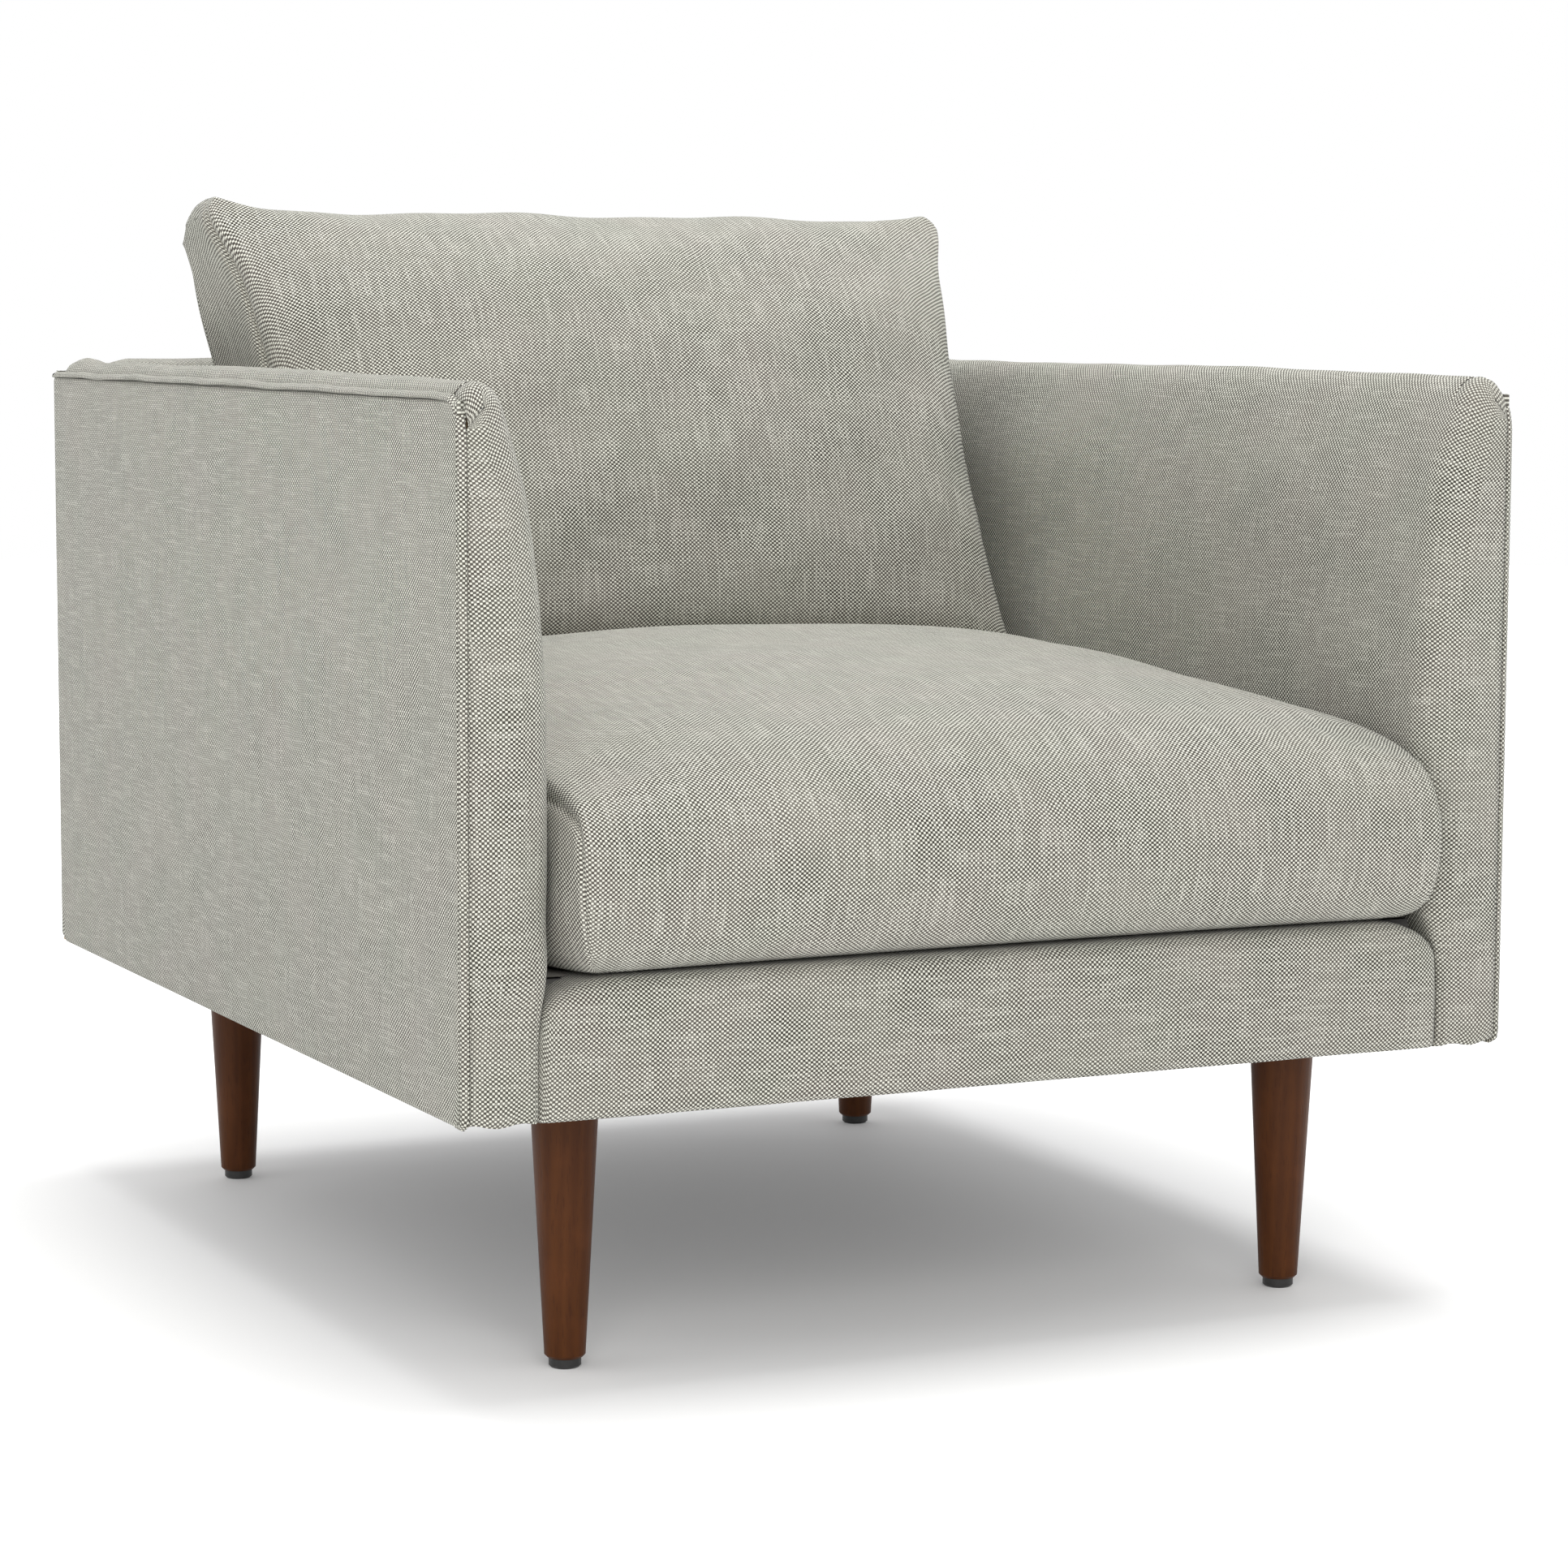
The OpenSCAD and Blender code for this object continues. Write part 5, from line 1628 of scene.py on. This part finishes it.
def zip_slider(name, body, place, start, node):
    """The slider's arched body and its long pull."""
    steel = metal("Zip Metal", (0.55, 0.54, 0.52), 0.28, 0.4)
    parts = []

    def shell(outline, low, high, inset):
        """A flat part with softened edges."""
        outline = np.array(outline)
        middle = outline.mean(0)
        small = middle + (outline - middle) * (1 - inset)
        point = np.tile(middle, (len(outline), 1))
        lower = [(point, low), (small, low), (outline, low + 0.0003)]
        upper = [(outline, high - 0.0003), (small, high), (point, high)]
        rows = []
        for shape, z in lower + upper:
            ring = np.vstack([shape, shape[:1]])
            rows.append(np.concatenate([ring, np.full((len(ring), 1), z)], axis=1))
        p = place(np.array(rows))
        parts.append(build_mesh("slider_part", [(p, np.zeros((*p.shape[:2], 2)))], steel))

    t = np.linspace(0, 2 * math.pi, 24, endpoint=False)
    across = 0.0029 * np.sin(t) * (1 + 0.25 * np.cos(t))
    body_line = np.stack([start + 0.004 + 0.004 * np.cos(t), across], axis=-1)
    shell(body_line, 0.0002, 0.0009, 0.15)
    shell(body_line * [1, 0.92] + [0.0002, 0], 0.0014, 0.0020, 0.15)
    post = np.stack([start + 0.0062 + 0.0009 * np.cos(t), 0.0009 * np.sin(t)], axis=-1)
    shell(post, 0.0008, 0.0016, 0.1)
    pull = np.stack([start + 0.0035 + 0.0019 * np.cos(t), -0.0032 + 0.0038 * np.sin(t)], axis=-1)
    shell(pull, 0.0020, 0.0026, 0.12)
    made = joined(name, parts)
    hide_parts(node)
    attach(made, body)


class CHAIR_OT_zips(bpy.types.Operator):
    """Make both cushion zips, with their tapes, coils and sliders"""

    bl_idname = "chair.zips"
    bl_label = "Make Zips"

    def execute(self, context):
        low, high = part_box("seat_zip")
        middle_z = (low.z + high.z) / 2

        def on_seat(p):
            return np.stack([p[..., 0], high.y - 0.0010 + p[..., 2], middle_z + p[..., 1]], axis=-1)

        zip_strip("seat_zip", "seat_cushion", on_seat, high.x, "seat_zip")
        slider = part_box("seat_zip_slider")
        zip_slider("seat_zip_slider_metal", "seat_slider", on_seat, slider[0].x, "seat_zip_slider")

        low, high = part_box("back_zip")
        centre = (low + high) / 2
        tilt = -self.foot_tilt()
        c, s = math.cos(tilt), math.sin(tilt)

        def on_foot(p):
            y, z = p[..., 1], -p[..., 2] - 0.0004
            return np.stack([p[..., 0], centre.y + c * y - s * z, centre.z + s * y + c * z], axis=-1)

        zip_strip("back_zip", "back_cushion", on_foot, high.x, "back_zip")
        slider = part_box("back_zip_slider")
        zip_slider("back_zip_slider_metal", "back_slider", on_foot, slider[0].x, "back_zip_slider")
        return {"FINISHED"}

    def foot_tilt(self):
        """The slope of the tape in the back cushion's foot."""
        points = mesh_points(frame["nodes"]["back_zip"].data)
        low, high = points[:, 1].argmin(), points[:, 1].argmax()
        return math.atan2(points[low, 2] - points[high, 2], points[high, 1] - points[low, 1])


# ---- hard parts and the stage ----

FINISHES = {
    "leg_": walnut,
    "glides": glide_plastic,
    "hanger_bolts": zinc_steel,
    "insert_nuts": zinc_steel,
    "glide_nails": zinc_steel,
    "corner_screws": zinc_steel,
    "rail_screws": zinc_steel,
    "spring_clips": zinc_steel,
    "seat_springs": lambda: metal("Spring Steel", (0.16, 0.16, 0.17), 0.38, 0.6),
    "back_webbing": lambda: rough_stuff("Webbing", (0.05, 0.05, 0.05), (0.11, 0.11, 0.11), 600.0, 0.5),
    "board": card,
    "tack_strip": card,
    "corner_blocks": lambda: raw_wood("Block Timber", (0.62, 0.42, 0.22), (0.40, 0.24, 0.11)),
    "": lambda: raw_wood("Frame Timber", (0.70, 0.52, 0.31), (0.48, 0.31, 0.16)),
}


class CHAIR_OT_hard_parts(bpy.types.Operator):
    """Give the legs, the timber and the fastenings their finishes"""

    bl_idname = "chair.hard_parts"
    bl_label = "Finish Hard Parts"

    def execute(self, context):
        for name, made in frame["nodes"].items():
            if made.hide_render:
                continue
            key = "" if name.startswith("leg_bearer") else next(k for k in FINISHES if k in name)
            finish = FINISHES[key]()
            made.data.materials.clear()
            made.data.materials.append(finish)
            if key in ("leg_", "glides", "hanger_bolts"):
                made.data.shade_smooth()
                made.data.set_sharp_from_angle(angle=math.radians(35))
        return {"FINISHED"}


class CHAIR_OT_stage(bpy.types.Operator):
    """Lay the pale floor and place the camera and the soft lights"""

    bl_idname = "chair.stage"
    bl_label = "Set Stage"

    def execute(self, context):
        scene = context.scene
        scene.view_settings.view_transform = "Standard"
        self.camera(scene)
        self.floor()
        self.lights(scene)
        return {"FINISHED"}

    def camera(self, scene):
        """The camera, a little higher than the arms and before the left one."""
        yaw, pitch, roll = math.radians(25.833), math.radians(6.432), math.radians(0.23)
        ahead = Vector((math.sin(yaw) * math.cos(pitch), math.cos(yaw) * math.cos(pitch), -math.sin(pitch)))
        right = ahead.cross(Vector((0, 0, 1))).normalized()
        up = right.cross(ahead)
        turned = right * math.cos(roll) + up * math.sin(roll)
        up = turned.cross(ahead)
        data = bpy.data.cameras.new("chair_camera")
        data.lens, data.sensor_width, data.sensor_fit = 97.2, 36.0, "HORIZONTAL"
        data.clip_end = 200
        made = bpy.data.objects.new("chair_camera", data)
        scene.collection.objects.link(made)
        axes = Matrix((turned, up, -ahead)).transposed().to_4x4()
        made.matrix_world = Matrix.Translation((-1.3935, -2.9751, 0.7234)) @ axes
        scene.camera = made

    def floor(self):
        """A round floor, larger than any view of the chair."""
        angle, radius = np.linspace(0, 2 * math.pi, 97), np.linspace(0, 9.0, 40)
        flat = radius[:, None, None] * np.stack([np.cos(angle), np.sin(angle)], axis=-1)[None]
        p = np.concatenate([flat, np.zeros((*flat.shape[:2], 1))], axis=-1)
        build_mesh("studio_floor", [(p, flat)], studio_floor())

    def lights(self, scene):
        """White air all round, and three soft lamps."""
        world = bpy.data.worlds.new("studio_air")
        scene.world = world
        world.use_nodes = True
        tree = world.node_tree
        seen = add(tree, "ShaderNodeLightPath").outputs["Is Camera Ray"]
        strength = spread_value(tree, seen, 0.85, 1.0)
        tree.links.new(strength, tree.nodes["Background"].inputs["Strength"])
        tree.nodes["Background"].inputs["Color"].default_value = (1.0, 1.0, 1.0, 1.0)
        for name, place, aim, size, power, tint in (
            ("overhead_soft", (0.3, 0.15, 3.6), (0.0, 0.1, 0.2), (2.7, 2.4), 97, (1.0, 1.0, 1.0)),
            ("front_soft", (-1.3, -3.4, 1.8), (0.0, 0.0, 0.4), (2.2, 1.8), 49, (1.0, 0.985, 0.955)),
            ("side_soft", (-3.6, 0.4, 1.9), (0.0, 0.1, 0.4), (2.0, 2.0), 8, (1.0, 0.98, 0.96)),
        ):
            data = bpy.data.lights.new(name, "AREA")
            data.shape, data.size, data.size_y = "RECTANGLE", size[0], size[1]
            data.energy, data.color = power, tint
            made = bpy.data.objects.new(name, data)
            scene.collection.objects.link(made)
            made.location = place
            made.rotation_euler = (Vector(aim) - Vector(place)).to_track_quat("-Z", "Y").to_euler()


OPERATORS = (
    CHAIR_OT_stage,
    CHAIR_OT_arms,
    CHAIR_OT_sides,
    CHAIR_OT_inside_back,
    CHAIR_OT_rail,
    CHAIR_OT_deck,
    CHAIR_OT_seat_cushion,
    CHAIR_OT_back_cushion,
    CHAIR_OT_zips,
    CHAIR_OT_hard_parts,
)


class CHAIR_PT_panel(bpy.types.Panel):
    """Builds the chair's soft work and finishes"""

    bl_idname = "CHAIR_PT_panel"
    bl_label = "Lounge Chair"
    bl_space_type = "VIEW_3D"
    bl_region_type = "UI"
    bl_category = "Chair"

    def draw(self, context):
        for group in (context.scene.chair_sizes, context.scene.chair_colours):
            column = self.layout.column()
            for name in group.__annotations__:
                column.prop(group, name)
        for operator in OPERATORS:
            self.layout.operator(operator.bl_idname)


def register():
    for kind in (ChairSizes, ChairColours, *OPERATORS, CHAIR_PT_panel):
        bpy.utils.register_class(kind)
    bpy.types.Scene.chair_sizes = bpy.props.PointerProperty(type=ChairSizes)
    bpy.types.Scene.chair_colours = bpy.props.PointerProperty(type=ChairColours)


def unregister():
    del bpy.types.Scene.chair_sizes, bpy.types.Scene.chair_colours
    for kind in (CHAIR_PT_panel, *reversed(OPERATORS), ChairColours, ChairSizes):
        bpy.utils.unregister_class(kind)


def main():
    register()
    for operator in OPERATORS:
        getattr(bpy.ops.chair, operator.bl_idname.split(".")[1])()


if __name__ == "__main__":
    main()
